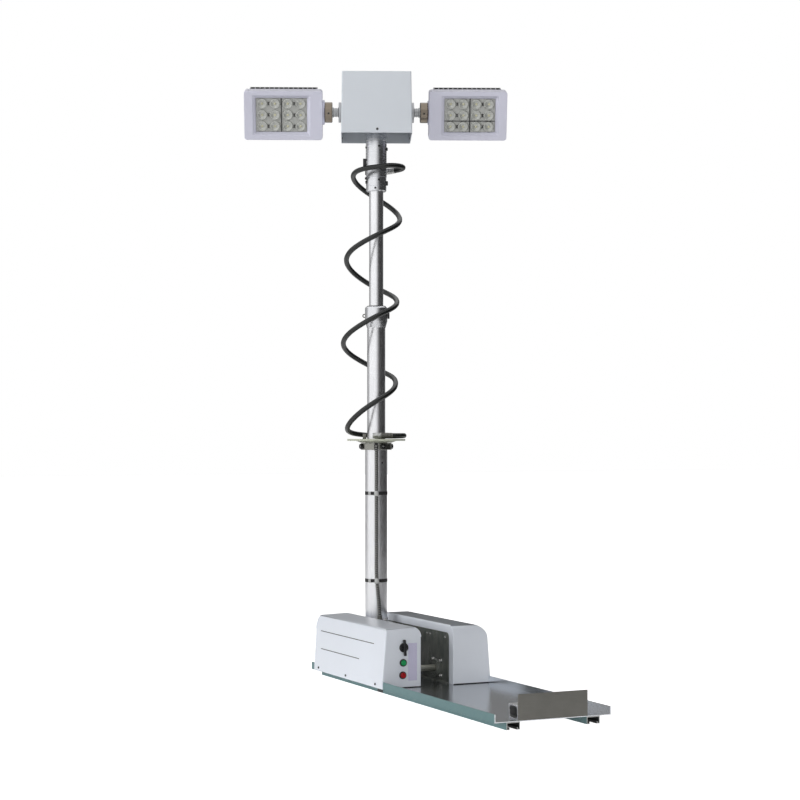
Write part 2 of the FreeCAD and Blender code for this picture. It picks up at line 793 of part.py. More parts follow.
def make_stages():
    """Two telescopic tubes with guide rings at their feet, and the collar and neck that they carry."""
    fit, wall = S.running_fit, S.tube_wall
    lower_bore = S.lower_round / 2 - wall
    middle, inner = S.middle_round / 2, S.inner_round / 2
    settle(turned("Middle", [
        (middle - wall, S.middle_base), (lower_bore - fit, S.middle_base),
        (lower_bore - fit, S.middle_base + S.guide_high), (middle, S.middle_base + S.guide_high),
        (middle, S.middle_top), (middle - wall, S.middle_top)]), "middle_tube", "mast")
    outside, bevel = S.collar_round / 2, S.collar_bevel
    settle(turned("Collar", [
        (middle + fit, S.collar_base), (middle + 1, S.collar_base),
        (outside, S.collar_base + S.collar_taper), (outside, S.collar_top - bevel),
        (outside - bevel, S.collar_top), (inner + fit, S.collar_top),
        (inner + fit, S.middle_top), (middle + fit, S.middle_top)]), "middle_collar", "mast")
    settle(turned("Inner", [
        (inner - wall, S.inner_base), (middle - wall - fit, S.inner_base),
        (middle - wall - fit, S.inner_base + S.guide_high), (inner, S.inner_base + S.guide_high),
        (inner, S.inner_top), (inner - wall, S.inner_top)]), "inner_tube", "mast")
    neck, low, bevel = S.neck_round / 2, S.neck_round / 2 - S.neck_step, S.neck_bevel
    pin = S.pan_shaft / 2 + fit
    floor = S.neck_top - S.pan_shaft_long - 1
    settle(turned("Neck", [
        (inner + fit, S.neck_base), (low - bevel, S.neck_base), (low, S.neck_base + bevel),
        (low, S.neck_base + S.neck_low), (neck, S.neck_base + S.neck_low), (neck, S.neck_top), (pin, S.neck_top),
        (pin, floor), (0, floor), (0, S.inner_top), (inner + fit, S.inner_top)]), "head_tube", "mast")


# Spiral cable

# turn in degrees from the lamp side, distance from the mast's axis, height as drawn with the disc at 750
# and the upper gland at 1626
CABLE_KNOTS = [
    (90, 93, 761), (180, 93, 760.5), (270, 97.5, 783), (360, 86, 872.5), (450, 64.5, 934), (540, 85, 981.5),
    (630, 112, 1060), (720, 88, 1145), (810, 69, 1197), (900, 85, 1248.5), (990, 101, 1332),
    (1080, 88, 1405), (1170, 79, 1466), (1260, 78, 1544), (1350, 77.5, 1605), (1440, 80, 1625),
]
STEPS_PER_KNOT = 3
CABLE_START = [(56, 80, 761), (73, 89, 761)]
CABLE_END = [(1470, 90, 1631), (1502, 97, 1632), (1528, 88, 1629)]


def cable_points():
    """Route points: smooth steps from knot to knot, in the head frame's directions."""
    knots = CABLE_KNOTS
    turns = list(CABLE_START)
    for k in range(len(knots) - 1):
        before, here, after, beyond = (
            knots[max(k - 1, 0)], knots[k], knots[k + 1], knots[min(k + 2, len(knots) - 1)])
        for step in range(STEPS_PER_KNOT):
            f = step / STEPS_PER_KNOT
            turn = here[0] + (after[0] - here[0]) * f
            radius, height = (
                hermite(here[i], after[i], (after[i] - before[i]) / 2, (beyond[i] - here[i]) / 2, f)
                for i in (1, 2))
            turns.append((turn, radius, height))
    turns.append(knots[-1])
    turns += CABLE_END
    low, high = disc_top.number, S.top_gland_height.number
    return [Vector(r * math.cos(math.radians(a)), r * math.sin(math.radians(a)),
                   low + (z - 750) * (high - low) / (1626 - 750)) for a, r, z in turns]


def hermite(a, b, slope_a, slope_b, f):
    """A smooth step from a to b with the given slopes at its ends."""
    return (a * (2 * f**3 - 3 * f**2 + 1) + slope_a * (f**3 - 2 * f**2 + f)
            + b * (3 * f**2 - 2 * f**3) + slope_b * (f**3 - f**2))


def round_tube(points, radius):
    """A round bar along straight runs joined by tangent arcs, each arc as large as its two runs allow."""
    rim = Part.Wire(Part.Circle(points[0], points[1] - points[0], radius).toShape())
    faces, radii, length, at = [Part.Face(rim)], [], 0, points[0]
    for before, corner, after in zip(points, points[1:], points[2:]):
        back, ahead = before - corner, after - corner
        shorter = 0.45 * min(back.Length, ahead.Length)
        back.normalize()
        ahead.normalize()
        turn = math.pi - back.getAngle(ahead)
        bend = shorter / math.tan(turn / 2)
        run = corner + back * shorter - at
        faces += rim.extrude(run).Faces
        rim = rim.translated(run)
        centre = corner + (back + ahead).normalize() * (bend / math.cos(turn / 2))
        axis = (-back).cross(ahead)
        faces += rim.revolve(centre, axis, math.degrees(turn)).Faces
        rim = rim.copy()
        rim.rotate(centre, axis, math.degrees(turn))
        length += run.Length + bend * turn
        radii.append(bend)
        at = corner + ahead * shorter
    run = points[-1] - at
    faces += rim.extrude(run).Faces
    faces.append(Part.Face(rim.translated(run)))
    shell = Part.makeShell(faces)
    shell.sewShape()
    tube = Part.makeSolid(shell)
    if tube.Volume < 0:
        tube.reverse()
    return tube, length + run.Length, radii


def gland_ends():
    """The two gland mouths that the cable leaves and enters, as points in the head frame."""
    out = S.gland_out.number
    height = (disc_top + S.gland_round / 2).number
    lower = Vector(out, S.gland_long.number / 2, height)
    turn = math.radians(S.top_gland_turn.number)
    away = (S.neck_round / 2 + S.gland_round / 2).number
    radial = Vector(math.cos(turn), math.sin(turn), 0)
    along = Vector(-math.sin(turn), math.cos(turn), 0)
    level = Vector(0, 0, S.top_gland_height.number)
    upper = radial * away - along * (S.gland_long.number / 2) + level
    return lower, upper, radial * away + level, along


def make_cable():
    """The cable that winds round the mast from the disc to the neck, and the gland at each end."""
    lower, upper, upper_middle, upper_way = gland_ends()
    straight = S.gland_long.number
    points = [lower, lower + Vector(0, straight, 0)] + cable_points() + [upper - upper_way * straight, upper]
    radius = S.cable_round.number / 2
    tube, length, radii = round_tube(points, radius)
    print(f"cable: {length:.0f} mm on its arcs, volume / (section x length)"
          f" {tube.Volume / (math.pi * radius ** 2 * length):.4f}, smallest arc {min(radii):.0f} mm")
    cable = doc.addObject("Part::Feature", "Cable")
    cable.Shape = tube
    settle(cable, "coil_cable", "head")
    height = disc_top + S.gland_round / 2
    nut_at = -S.gland_nut_long / 2
    settle(joined("Gland", [
        rod("Gland_body", S.gland_body, S.gland_long, S.gland_out, -S.gland_long / 2, height, "y"),
        rod("Gland_nut", S.gland_round, S.gland_nut_long, S.gland_out, nut_at, height, "y")]),
        "cable_gland", "head")
    turn = Rotation(Vector(0, 0, 1), upper_way)
    pieces = [rod("Upper_gland", S.gland_body, S.gland_long, 0, 0, 0),
              rod("Upper_nut", S.gland_round, S.gland_nut_long, 0, 0, 0)]
    pieces[0].Placement = Placement(upper, turn)
    pieces[1].Placement = Placement(upper_middle - upper_way * (S.gland_nut_long.number / 2), turn)
    settle(joined("Top_gland", pieces), "top_gland", "head")


# Turning head


def make_head():
    pin, neck = S.pan_shaft / 2, S.neck_round / 2
    seat = S.neck_top + S.pan_gap
    flange = S.spigot_flange / 2
    top = S.spigot_top + S.spigot_flange_thick
    settle(turned("Spigot", [
        (0, S.neck_top - S.pan_shaft_long), (pin, S.neck_top - S.pan_shaft_long), (pin, seat),
        (neck, seat), (neck, S.spigot_top), (flange, S.spigot_top), (flange, top), (0, top)]),
        "head_spigot", "head")
    half = S.gearbox_wide / 2
    block = box("Gearbox", -S.gearbox_long / 2, -half, top, S.gearbox_long, S.gearbox_wide,
                S.head_top - S.head_wall - top)
    bore = rod("Gearbox_bore", S.shaft_round + S.free_fit * 2, S.gearbox_wide + 2, 0, -half - 1,
               S.arm_height, "y")
    settle(less("Pan_gearbox", block, [bore]), "pan_gearbox", "head")
    make_head_cover()
    flanges = []
    for side in (-1, 1):
        inner = arm_face if side > 0 else -arm_face - S.arm_flange_thick
        disc = rod(f"Arm_flange_{side + 1}", S.arm_flange, S.arm_flange_thick, 0, inner, S.arm_height, "y")
        hole = rod(f"Arm_flange_hole_{side + 1}", S.shaft_round + S.running_fit * 2,
                   S.arm_flange_thick + 2, 0, inner - 1, S.arm_height, "y")
        flanges.append(less(f"Arm_flange_cut_{side + 1}", disc, [hole]))
    settle(joined("Arm_flanges", flanges), "arm_flanges", "head")


def make_head_cover():
    """A folded sheet box, open underneath, a little wider at its foot than at its top."""
    wall, base, top = S.head_wall, S.head_base, S.head_top
    low, high = S.head_wide_base / 2, S.head_wide_top / 2
    deep = S.head_deep
    outer = extruded("Head_outer", "YZ_Plane", [[(-low, base), (low, base), (high, top), (-high, top)]], deep)
    rounded(outer, S.head_round, lambda a, b: near(a.x, b.x) and not near(a.z, b.z))
    place(outer, -deep / 2)
    inner = extruded("Head_inner", "YZ_Plane", [[
        (wall - low, base - 1), (low - wall, base - 1), (high - wall, top - wall), (wall - high, top - wall)]],
        deep - wall * 2)
    place(inner, wall - deep / 2)
    hole = rod("Head_holes", S.arm_hole, S.head_wide_base + 2, 0, -low - 1, S.arm_height, "y")
    settle(less("Head_cover", outer, [inner, hole]), "head_cover", "head")


# Lamps


def make_arm():
    """The tilting shaft right through the head, with a collar and a lamp plate at each end."""
    end = lamp_edge - S.side_plate_thick
    settle(rod("Lamp_shaft", S.shaft_round, end * 2, 0, -end, S.arm_height, "y"), "lamp_shaft", "head")
    collars, plates = [], []
    for side in (-1, 1):
        start = end - S.brass_thick if side > 0 else -end
        ring = rod(f"Brass_{side + 1}", S.brass_round, S.brass_thick, 0, start, S.arm_height, "y")
        hole = rod(f"Brass_hole_{side + 1}", S.shaft_round + S.running_fit * 2, S.brass_thick + 2,
                   0, start - 1, S.arm_height, "y")
        collars.append(less(f"Brass_cut_{side + 1}", ring, [hole]))
        plate = extruded(f"Lamp_plate_{side + 1}", "XZ_Plane", [[
            (-S.side_plate_deep / 2, -S.side_plate_high / 2), (S.side_plate_deep / 2, -S.side_plate_high / 2),
            (S.side_plate_deep / 2, S.side_plate_high / 2), (-S.side_plate_deep / 2, S.side_plate_high / 2)]],
            S.side_plate_thick, True)
        rounded(plate, S.side_plate_round, lambda a, b: near(a.x, b.x) and near(a.z, b.z))
        place(plate, 0, end if side > 0 else -lamp_edge, S.arm_height)
        plates.append(plate)
    settle(joined("Collars", collars), "shaft_collars", "head")
    settle(joined("Lamp_plates", plates), "lamp_plates", "lamp")


def window_middle(side):
    """Middle of a lamp's window: nearer the lamp's outer edge and a little below its middle."""
    across = (lamp_reach - S.window_outer - S.window_wide / 2) * side
    height = S.arm_height + S.lamp_high / 2 - S.window_over - S.window_high / 2
    return across, height


def make_housing(name, side):
    """A lamp housing: a shallow tray with a bevelled bezel round its window."""
    wide, high, deep = S.lamp_wide, S.lamp_high, S.lamp_front + S.lamp_back
    middle = lamp_centre * side
    across, height = window_middle(side)
    body = extruded(f"Housing_{name}", "YZ_Plane", [[
        (middle - wide / 2, S.arm_height - high / 2), (middle + wide / 2, S.arm_height - high / 2),
        (middle + wide / 2, S.arm_height + high / 2), (middle - wide / 2, S.arm_height + high / 2)]], deep)
    rounded(body, S.lamp_round, lambda a, b: near(a.y, b.y) and near(a.z, b.z))
    place(body, -S.lamp_back)
    room = extruded(f"Window_{name}", "YZ_Plane", [[
        (across - S.window_wide / 2, height - S.window_high / 2),
        (across + S.window_wide / 2, height - S.window_high / 2),
        (across + S.window_wide / 2, height + S.window_high / 2),
        (across - S.window_wide / 2, height + S.window_high / 2)]], S.window_deep + S.panel_thick + 1)
    place(room, S.lamp_front - S.window_deep - S.panel_thick)
    bevel = doc.addObject("Part::Wedge", f"Bevel_{name}")
    slope = S.bezel_bevel
    for prop, size in (
        ("Xmin", -S.window_wide / 2), ("Xmax", S.window_wide / 2),
        ("Zmin", -S.window_high / 2), ("Zmax", S.window_high / 2),
        ("X2min", -S.window_wide / 2 - slope), ("X2max", S.window_wide / 2 + slope),
        ("Z2min", -S.window_high / 2 - slope), ("Z2max", S.window_high / 2 + slope),
        ("Ymin", sized(0)), ("Ymax", slope),
    ):
        setattr(bevel, prop, size.number)
        bind(bevel, prop, size)
    place(bevel, S.lamp_front - slope, across, height, (0, 0, 1), -90)
    settle(less(f"Housing_cut_{name}", body, [room, bevel]), f"lamp_housing_{name}", "lamp")


def make_panel(name, side):
    """The lens panel in a window: a plate with three rows of four lenses."""
    across, height = window_middle(side)
    face = S.lamp_front - S.window_deep
    gap = S.free_fit
    pieces = [box(f"Panel_{name}", face - S.panel_thick, across - S.window_wide / 2 + gap,
                  height - S.window_high / 2 + gap, S.panel_thick,
                  S.window_wide - gap * 2, S.window_high - gap * 2)]
    for row in (-1, 0, 1):
        for column in (-1.5, -0.5, 0.5, 1.5):
            lens = doc.addObject("Part::Prism", f"Lens_{name}")
            lens.Polygon = round(S.lens_sides.number)
            for prop, size in (("Circumradius", S.lens_round / 2), ("Height", S.lens_high)):
                setattr(lens, prop, size.number)
                bind(lens, prop, size)
            place(lens, face, across + S.lens_pitch_y * column, height + S.lens_pitch_z * row, (0, 1, 0), 90)
            pieces.append(lens)
    settle(joined(f"Lens_panel_{name}", pieces), f"lens_panel_{name}", "lamp")


def make_heat_sink(name, side):
    """Upright fins on a web behind the lamp."""
    count = round(S.fin_count.number)
    middle = lamp_centre * side
    height = S.arm_height - S.lamp_high / 2
    web = box(f"Fin_web_{name}", -S.lamp_back - S.fin_web, middle - fin_span / 2,
              height + S.fin_lift, S.fin_web, fin_span, S.lamp_high - S.fin_lift * 2)
    pieces = [web]
    for k in range(count):
        across = middle - fin_span / 2 + S.fin_pitch * k
        pieces.append(box(f"Fin_{name}", -S.lamp_back - S.fin_deep, across, height + S.fin_lift,
                          S.fin_deep - S.fin_web + 1, S.fin_thick, S.fin_high - S.fin_lift))
    settle(joined(f"Heat_sink_{name}", pieces), f"heat_sink_{name}", "lamp")


def make_lamps():
    make_arm()
    for name, side in (("left", -1), ("right", 1)):
        make_housing(name, side)
        make_panel(name, side)
        make_heat_sink(name, side)


def check_and_write():
    """Stops on a failed object, and otherwise writes each sub-part to a file named after it."""
    doc.recompute()
    for thing in doc.Objects:
        if "Invalid" in thing.State or "Error" in thing.State:
            raise RuntimeError(f"{thing.Name} failed: {thing.State}")
    for thing in NODES:
        if thing.Shape.isNull() or not thing.Shape.isValid():
            raise RuntimeError(f"{thing.Label} has no valid shape")
    os.makedirs("parts", exist_ok=True)
    for thing in NODES:
        thing.Shape.exportStep(f"parts/{thing.Label}.step")
        print(thing.Label, len(thing.Shape.Solids), round(thing.Shape.Volume / 1000, 1), "cm3")


make_tray()
make_rails()
make_housings()
make_trough_parts()
make_rest()
make_controls()
make_drives()
make_foot()
make_lower_tube()
make_disc()
make_clamp()
make_conduit()
make_stages()
make_cable()
make_head()
make_lamps()
check_and_write()
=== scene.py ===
# %% [markdown]
# # A light tower for a vehicle roof
#
# The real machine is a sheet-metal tray that is bolted to a roof. A telescopic mast folds down
# along it, and two floodlights sit on a turning head at the top. The working model already has
# every part at its true size. This lesson dresses it: it rounds the edges that light catches,
# adds the small fittings, and gives each part a finish.

# %% Load the model
import json
from math import atan2, cos, degrees, hypot, radians, sin, tau

import bmesh
import bpy
from mathutils import Matrix, Vector

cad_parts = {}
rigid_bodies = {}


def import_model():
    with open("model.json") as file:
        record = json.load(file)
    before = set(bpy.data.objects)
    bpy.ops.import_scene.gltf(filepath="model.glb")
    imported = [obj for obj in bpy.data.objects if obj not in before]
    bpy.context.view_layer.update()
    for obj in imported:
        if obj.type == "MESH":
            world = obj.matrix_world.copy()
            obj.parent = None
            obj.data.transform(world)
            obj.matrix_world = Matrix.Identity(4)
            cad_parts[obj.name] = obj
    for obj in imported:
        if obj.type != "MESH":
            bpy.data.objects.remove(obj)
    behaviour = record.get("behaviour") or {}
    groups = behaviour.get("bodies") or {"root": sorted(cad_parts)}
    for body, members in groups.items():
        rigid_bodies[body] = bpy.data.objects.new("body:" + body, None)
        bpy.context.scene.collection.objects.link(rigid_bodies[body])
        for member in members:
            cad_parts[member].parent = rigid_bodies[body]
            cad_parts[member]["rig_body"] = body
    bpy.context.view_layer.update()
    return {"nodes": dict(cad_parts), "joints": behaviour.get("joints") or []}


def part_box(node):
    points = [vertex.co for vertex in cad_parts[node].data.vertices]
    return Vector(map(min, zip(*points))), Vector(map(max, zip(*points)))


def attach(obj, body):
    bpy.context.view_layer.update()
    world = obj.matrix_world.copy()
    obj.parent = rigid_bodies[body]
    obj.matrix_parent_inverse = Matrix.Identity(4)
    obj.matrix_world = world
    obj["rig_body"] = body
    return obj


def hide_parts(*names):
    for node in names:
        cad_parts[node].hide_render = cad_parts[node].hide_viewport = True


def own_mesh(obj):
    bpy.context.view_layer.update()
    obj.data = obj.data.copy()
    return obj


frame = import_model()

# %% [markdown]
# ## Two working frames
#
# The mast stands at one end of the tray, and the lamps look away from it at a slant. It is easier
# to model a part about the mast's own centre line, in millimetres, and to turn it afterwards. One
# matrix does that for parts that stay square to the tray, and a second one for all that faces
# where the lamps look. Heights start at the tray's underside, 21 mm above the rails' feet.

# %% Frames for the tray, the mast and the head
RAIL_HEIGHT = 0.021
joints = {joint["name"]: joint for joint in frame["joints"]}
mast_spot = Vector(joints["head_pan"]["pos_m"])
arm_way = Vector(joints["lamp_tilt"]["axis"])
aim = atan2(arm_way.x, arm_way.y)
MILLIMETRES = Matrix.Scale(0.001, 4)
tray_low, tray_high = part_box("tray")
ON_TRAY = Matrix.Translation(tray_low) @ MILLIMETRES
ON_MAST = Matrix.Translation((mast_spot.x, mast_spot.y, RAIL_HEIGHT)) @ MILLIMETRES
ON_HEAD = ON_MAST @ Matrix.Rotation(-aim, 4, "Z")
ARM_HEIGHT = 1815
LEAN = 18
AT_ARM = ON_HEAD @ Matrix.Translation((0, 0, ARM_HEIGHT))
ON_ARM = AT_ARM @ Matrix.Rotation(radians(-90), 4, "X")
ON_LAMP = AT_ARM @ Matrix.Rotation(radians(LEAN), 4, "Y")
TO_FREE_END = Matrix.Rotation(radians(90), 4, "Y")
print("lamps look", round(degrees(aim), 1), "degrees off the tray's line")

# %% [markdown]
# ## The camera
#
# The photograph was taken from far off with a long lens, level with the middle of the mast. The
# upright lines stay parallel because the camera doesn't tilt: the picture is moved up the sensor
# with a small shift instead.

# %% Camera
def added(name, data):
    """A new object of some data, in the scene."""
    holder = bpy.data.objects.new(name, data)
    bpy.context.scene.collection.objects.link(holder)
    return holder


TO_CAMERA, PICTURE_RIGHT = Vector((0.9058, -0.4237, 0)), Vector((0.4237, 0.9058, 0))
CAMERA_FROM_MAST = (5.4910, -2.4830)
CAMERA_HEIGHT = 0.7795


def add_camera():
    data = bpy.data.cameras.new("Camera")
    data.sensor_width = 36
    data.lens = 83.25
    data.shift_y = 0.04625
    data.clip_end = 100
    camera = added("Camera", data)
    camera.location = (mast_spot.x + CAMERA_FROM_MAST[0], mast_spot.y + CAMERA_FROM_MAST[1],
                       CAMERA_HEIGHT)
    camera.rotation_mode = "QUATERNION"
    camera.rotation_quaternion = (-TO_CAMERA).to_track_quat("-Z", "Y")
    bpy.context.scene.camera = camera
    return camera


camera = add_camera()
print("lens:", camera.data.lens, "mm")

# %% [markdown]
# ## The spiral cable's route
#
# The supply cable leaves a gland on the disc, winds nearly four times round the mast, and goes
# back into a gland on the neck, so that the mast can rise and sink. The turns are loose and all
# differ. The same route points that shaped the working model are the control points of a NURBS
# curve here, written in tenths of a millimetre. An order of three gives a smooth line that
# stays near its points.

# %% Route
ROUTE_TENTHS = [
    (-4097, -58, 7840), (-4001, 162, 7840), (-3955, 473, 7840), (-4052, 720, 7840), (-4259, 897, 7840),
    (-4734, 967, 7830), (-5181, 790, 7820), (-5483, 417, 7835), (-5573, -61, 7868), (-5412, -531, 7927),
    (-5021, -849, 8060), (-4525, -902, 8319), (-4090, -689, 8653), (-3843, -300, 8955),
    (-3856, 131, 9186), (-4076, 453, 9386), (-4373, 635, 9570), (-4707, 720, 9727), (-5083, 657, 9869),
    (-5410, 385, 10045), (-5579, -62, 10281), (-5488, -588, 10552), (-5079, -982, 10830),
    (-4511, -1025, 11121), (-4052, -741, 11419), (-3825, -308, 11680), (-3836, 133, 11878),
    (-4047, 475, 12039), (-4355, 677, 12200), (-4711, 757, 12360), (-5096, 675, 12520),
    (-5410, 385, 12715), (-5539, -58, 12974), (-5418, -536, 13268), (-5035, -881, 13550),
    (-4521, -936, 13806), (-4078, -705, 14049), (-3825, -308, 14280), (-3792, 138, 14486),
    (-3977, 527, 14679), (-4315, 768, 14890), (-4718, 820, 15144), (-5094, 672, 15416),
    (-5346, 357, 15670), (-5403, -42, 15901), (-5254, -415, 16113), (-4941, -666, 16280),
    (-4544, -733, 16384), (-4161, -593, 16443), (-3898, -276, 16480), (-3737, 145, 16540),
    (-3871, 647, 16550), (-4251, 838, 16520), (-4709, 615, 16490), (-4874, 442, 16490),
]
CABLE_ROUTE = [tuple(part / 10000 for part in point) for point in ROUTE_TENTHS]
CABLE_ACROSS = 0.0165


def route_curve(name, points):
    data = bpy.data.curves.new(name, "CURVE")
    data.dimensions = "3D"
    data.resolution_u = 6
    spline = data.splines.new("NURBS")
    spline.points.add(len(points) - 1)
    for point, place in zip(spline.points, points):
        point.co = (*place, 1)
    spline.order_u = 3
    spline.use_endpoint_u = True
    return added(name, data)


def curve_mesh(holder, bevel=0.0):
    """A mesh of the curve: a bare line where bevel is 0, and else a tube."""
    holder.data.bevel_depth = bevel
    holder.data.bevel_resolution = 5
    holder.data.use_fill_caps = bevel > 0
    bpy.context.view_layer.update()
    seen = holder.evaluated_get(bpy.context.evaluated_depsgraph_get())
    return bpy.data.meshes.new_from_object(seen)


route = route_curve("cable_route", CABLE_ROUTE)
route_line = [vertex.co.copy() for vertex in curve_mesh(route).vertices]
route_length = sum((b - a).length for a, b in zip(route_line, route_line[1:]))
print("cable length:", round(route_length, 3), "m")

# %% [markdown]
# ## Turning a bmesh into a piece
#
# Every new part is built in a bmesh, which is a mesh that operators can work on. One helper then
# moves it to its place, makes an object of it, sets which edges stay sharp, and ties it to the
# part of the tower that it moves with.

# %% Piece helpers
def bare_object(bm, name, finish):
    mesh = bpy.data.meshes.new(name)
    bm.to_mesh(mesh)
    bm.free()
    mesh.materials.append(finish)
    return added(name, mesh)


def make_object(bm, name, body, finish, sharp=32):
    """An object of a bmesh that is smooth but for its sharp edges, and moves with a body."""
    piece = bare_object(bm, name, finish)
    piece.data.shade_smooth()
    piece.data.set_sharp_from_angle(angle=radians(sharp))
    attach(piece, body)
    return piece


def settle(bm, name, where, body, finish, stands_for=(), sharp=32):
    """Moves a new shape to its place and makes it a piece, which may stand for working parts."""
    bmesh.ops.transform(bm, matrix=where, verts=bm.verts)
    bmesh.ops.recalc_face_normals(bm, faces=bm.faces)
    piece = make_object(bm, name, body, finish, sharp)
    if stands_for:
        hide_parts(*stands_for)
    return piece


def dressed(node, finish, edge, segments=2):
    """A copy of a working part with merged corners, and edges bevelled to catch the light."""
    source = frame["nodes"][node]
    bm = bmesh.new()
    bm.from_mesh(source.data)
    bmesh.ops.remove_doubles(bm, verts=bm.verts, dist=1e-5)
    bmesh.ops.dissolve_limit(bm, angle_limit=radians(0.4), verts=bm.verts, edges=bm.edges)
    piece = make_object(bm, f"{node}_dressed", source["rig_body"], finish)
    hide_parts(node)
    bevel = piece.modifiers.new("Soft edges", "BEVEL")
    bevel.width = edge * 0.001
    bevel.segments = segments
    bevel.limit_method = "ANGLE"
    bevel.angle_limit = radians(38)
    bevel.harden_normals = True
    return piece


# %% [markdown]
# ## Shapes that come back often
#
# Tubes, rings, domes and screws are all turned shapes: an outline of radius and height that spins
# once round an axis. Plates and blocks are cubes with bevelled edges. The outline of a socket
# screw's head dips into its middle, and a bolt's head is spun in only six steps.

# %% Turned shapes and blocks
def spun(bm, outline, steps=64, where=None, closed=None):
    """Points of (radius, height) spun round z, closed unless both ends lie on the axis."""
    points = [bm.verts.new((r, 0, z)) for r, z in outline]
    if closed is None:
        closed = outline[0][0] > 0 or outline[-1][0] > 0
    pairs = list(zip(points, points[1:])) + ([(points[-1], points[0])] if closed else [])
    edges = [bm.edges.new(pair) for pair in pairs]
    bmesh.ops.spin(bm, geom=points + edges, cent=(0, 0, 0), axis=(0, 0, 1),
                   angle=tau, steps=steps, use_merge=True)
    bmesh.ops.remove_doubles(bm, verts=linked(points), dist=1e-4)
    grown = linked([corner for corner in points if corner.is_valid])
    if where is not None:
        bmesh.ops.transform(bm, matrix=where, verts=grown)
    return grown


def turned(outline, steps, *places):
    """What adds a turned shape to a bmesh, at each of the places or where it is drawn."""
    return lambda bm: [spun(bm, outline, steps, where) for where in places or (None,)]


def linked(seeds):
    """All corners that hang together with the given ones."""
    found, ahead = set(seeds), list(seeds)
    while ahead:
        corner = ahead.pop()
        for edge in corner.link_edges:
            other = edge.other_vert(corner)
            if other not in found:
                found.add(other)
                ahead.append(other)
    return list(found)


def block(bm, low, high, round_by=0.0, segments=2, where=None):
    """A box between two corners, with its edges rounded."""
    low, high = Vector(low), Vector(high)
    size = high - low
    matrix = Matrix.Translation((low + high) / 2) @ Matrix.Diagonal((*size, 1))
    made = bmesh.ops.create_cube(bm, size=1, matrix=matrix)["verts"]
    if round_by:
        edges = list({edge for corner in made for edge in corner.link_edges})
        cut = bmesh.ops.bevel(bm, geom=edges, offset=round_by, offset_type="OFFSET",
                              segments=segments, profile=0.5, affect="EDGES", material=-1)
        made = linked(cut["verts"][:1])
    if where is not None:
        bmesh.ops.transform(bm, matrix=where, verts=made)
    return made


def blocks(*boxes):
    """What adds rounded boxes to a bmesh."""
    return lambda bm: [block(bm, *box) for box in boxes]


def facing(at, way):
    """A matrix that puts a shape built up the z axis at a point, pointing along a direction."""
    return Matrix.Translation(at) @ Vector(way).to_track_quat("Z", "Y").to_matrix().to_4x4()


def screw(bm, at, way, across, high):
    """A socket screw's head."""
    r = across / 2
    spun(bm, [(0, 0), (r, 0), (r, high * 0.75), (r * 0.88, high), (r * 0.5, high),
              (r * 0.46, high * 0.4), (0, high * 0.4)], 12, facing(at, way))


def bolt(bm, at, way, across, high, washer):
    """A hexagon bolt's head on its washer."""
    r = across / 2
    where = facing(at, way)
    spun(bm, [(0, 0), (r * 1.5, 0), (r * 1.5, washer), (0, washer)], 20, where)
    spun(bm, [(0, washer), (r * 1.1, washer), (r * 1.1, high * 0.85), (r * 0.95, high), (0, high)],
         6, where)


def fittings(name, where, body, finish, build, stands_for=()):
    """One piece of the shapes that build adds to a bmesh, in millimetres."""
    bm = bmesh.new()
    build(bm)
    return settle(bm, name, where, body, finish, stands_for)


print("helpers ready")

# %% [markdown]
# ## Finishes
#
# Every finish is made of nodes. A small kit does the repeated work: it adds noise in the piece's
# own Object coordinates (stretched where a surface was drawn or brushed one way), turns it into a
# range of tones or roughness, and adds fine bumps.

def ranged(value, low, high, start=0.3, end=0.7):
    """A value between start and end turned into one between low and high."""
    node = value.id_data.nodes.new("ShaderNodeMapRange")
    for socket, number in (("From Min", start), ("From Max", end), ("To Min", low), ("To Max", high)):
        node.inputs[socket].default_value = number
    value.id_data.links.new(value, node.inputs["Value"])
    return node.outputs["Result"]


class Finish:
    """A material under construction: its shader, and helpers that wire noise into it."""

    def __init__(self, name, **settings):
        self.material = bpy.data.materials.new(name)
        self.material.use_nodes = True
        self.nodes, self.links = self.material.node_tree.nodes, self.material.node_tree.links
        self.shader = self.nodes["Principled BSDF"]
        self.spot = self.nodes.new("ShaderNodeTexCoord")
        for key, value in settings.items():
            self.shader.inputs[key.replace("_", " ")].default_value = value

    def noise(self, scale, stretch=(1, 1, 1), detail=4, rough=0.5):
        mapping = self.nodes.new("ShaderNodeMapping")
        mapping.inputs["Scale"].default_value = stretch
        self.links.new(self.spot.outputs["Object"], mapping.inputs["Vector"])
        node = self.nodes.new("ShaderNodeTexNoise")
        node.inputs["Scale"].default_value = scale
        node.inputs["Detail"].default_value = detail
        node.inputs["Roughness"].default_value = rough
        self.links.new(mapping.outputs["Vector"], node.inputs["Vector"])
        return node.outputs["Fac"]

    def blend(self, factor, first, second):
        node = self.nodes.new("ShaderNodeMix")
        node.data_type = "RGBA"
        for socket, colour in ((node.inputs[6], first), (node.inputs[7], second)):
            if isinstance(colour, bpy.types.NodeSocket):
                self.links.new(colour, socket)
            else:
                socket.default_value = (*colour, 1)
        self.links.new(factor, node.inputs[0])
        return node.outputs[2]

    def colour(self, socket):
        self.links.new(socket, self.shader.inputs["Base Color"])

    def roughness(self, socket):
        self.links.new(socket, self.shader.inputs["Roughness"])

    def bump(self, height, strength, distance):
        node = self.nodes.new("ShaderNodeBump")
        node.inputs["Strength"].default_value = strength
        node.inputs["Distance"].default_value = distance
        self.links.new(height, node.inputs["Height"])
        self.links.new(node.outputs["Normal"], self.shader.inputs["Normal"])


def scaled(colour, by):
    return tuple(part * by for part in colour)


EVEN, TURNED, LENGTHWISE = (1, 1, 1), (0.02, 0.02, 1), (0.4, 1, 1)


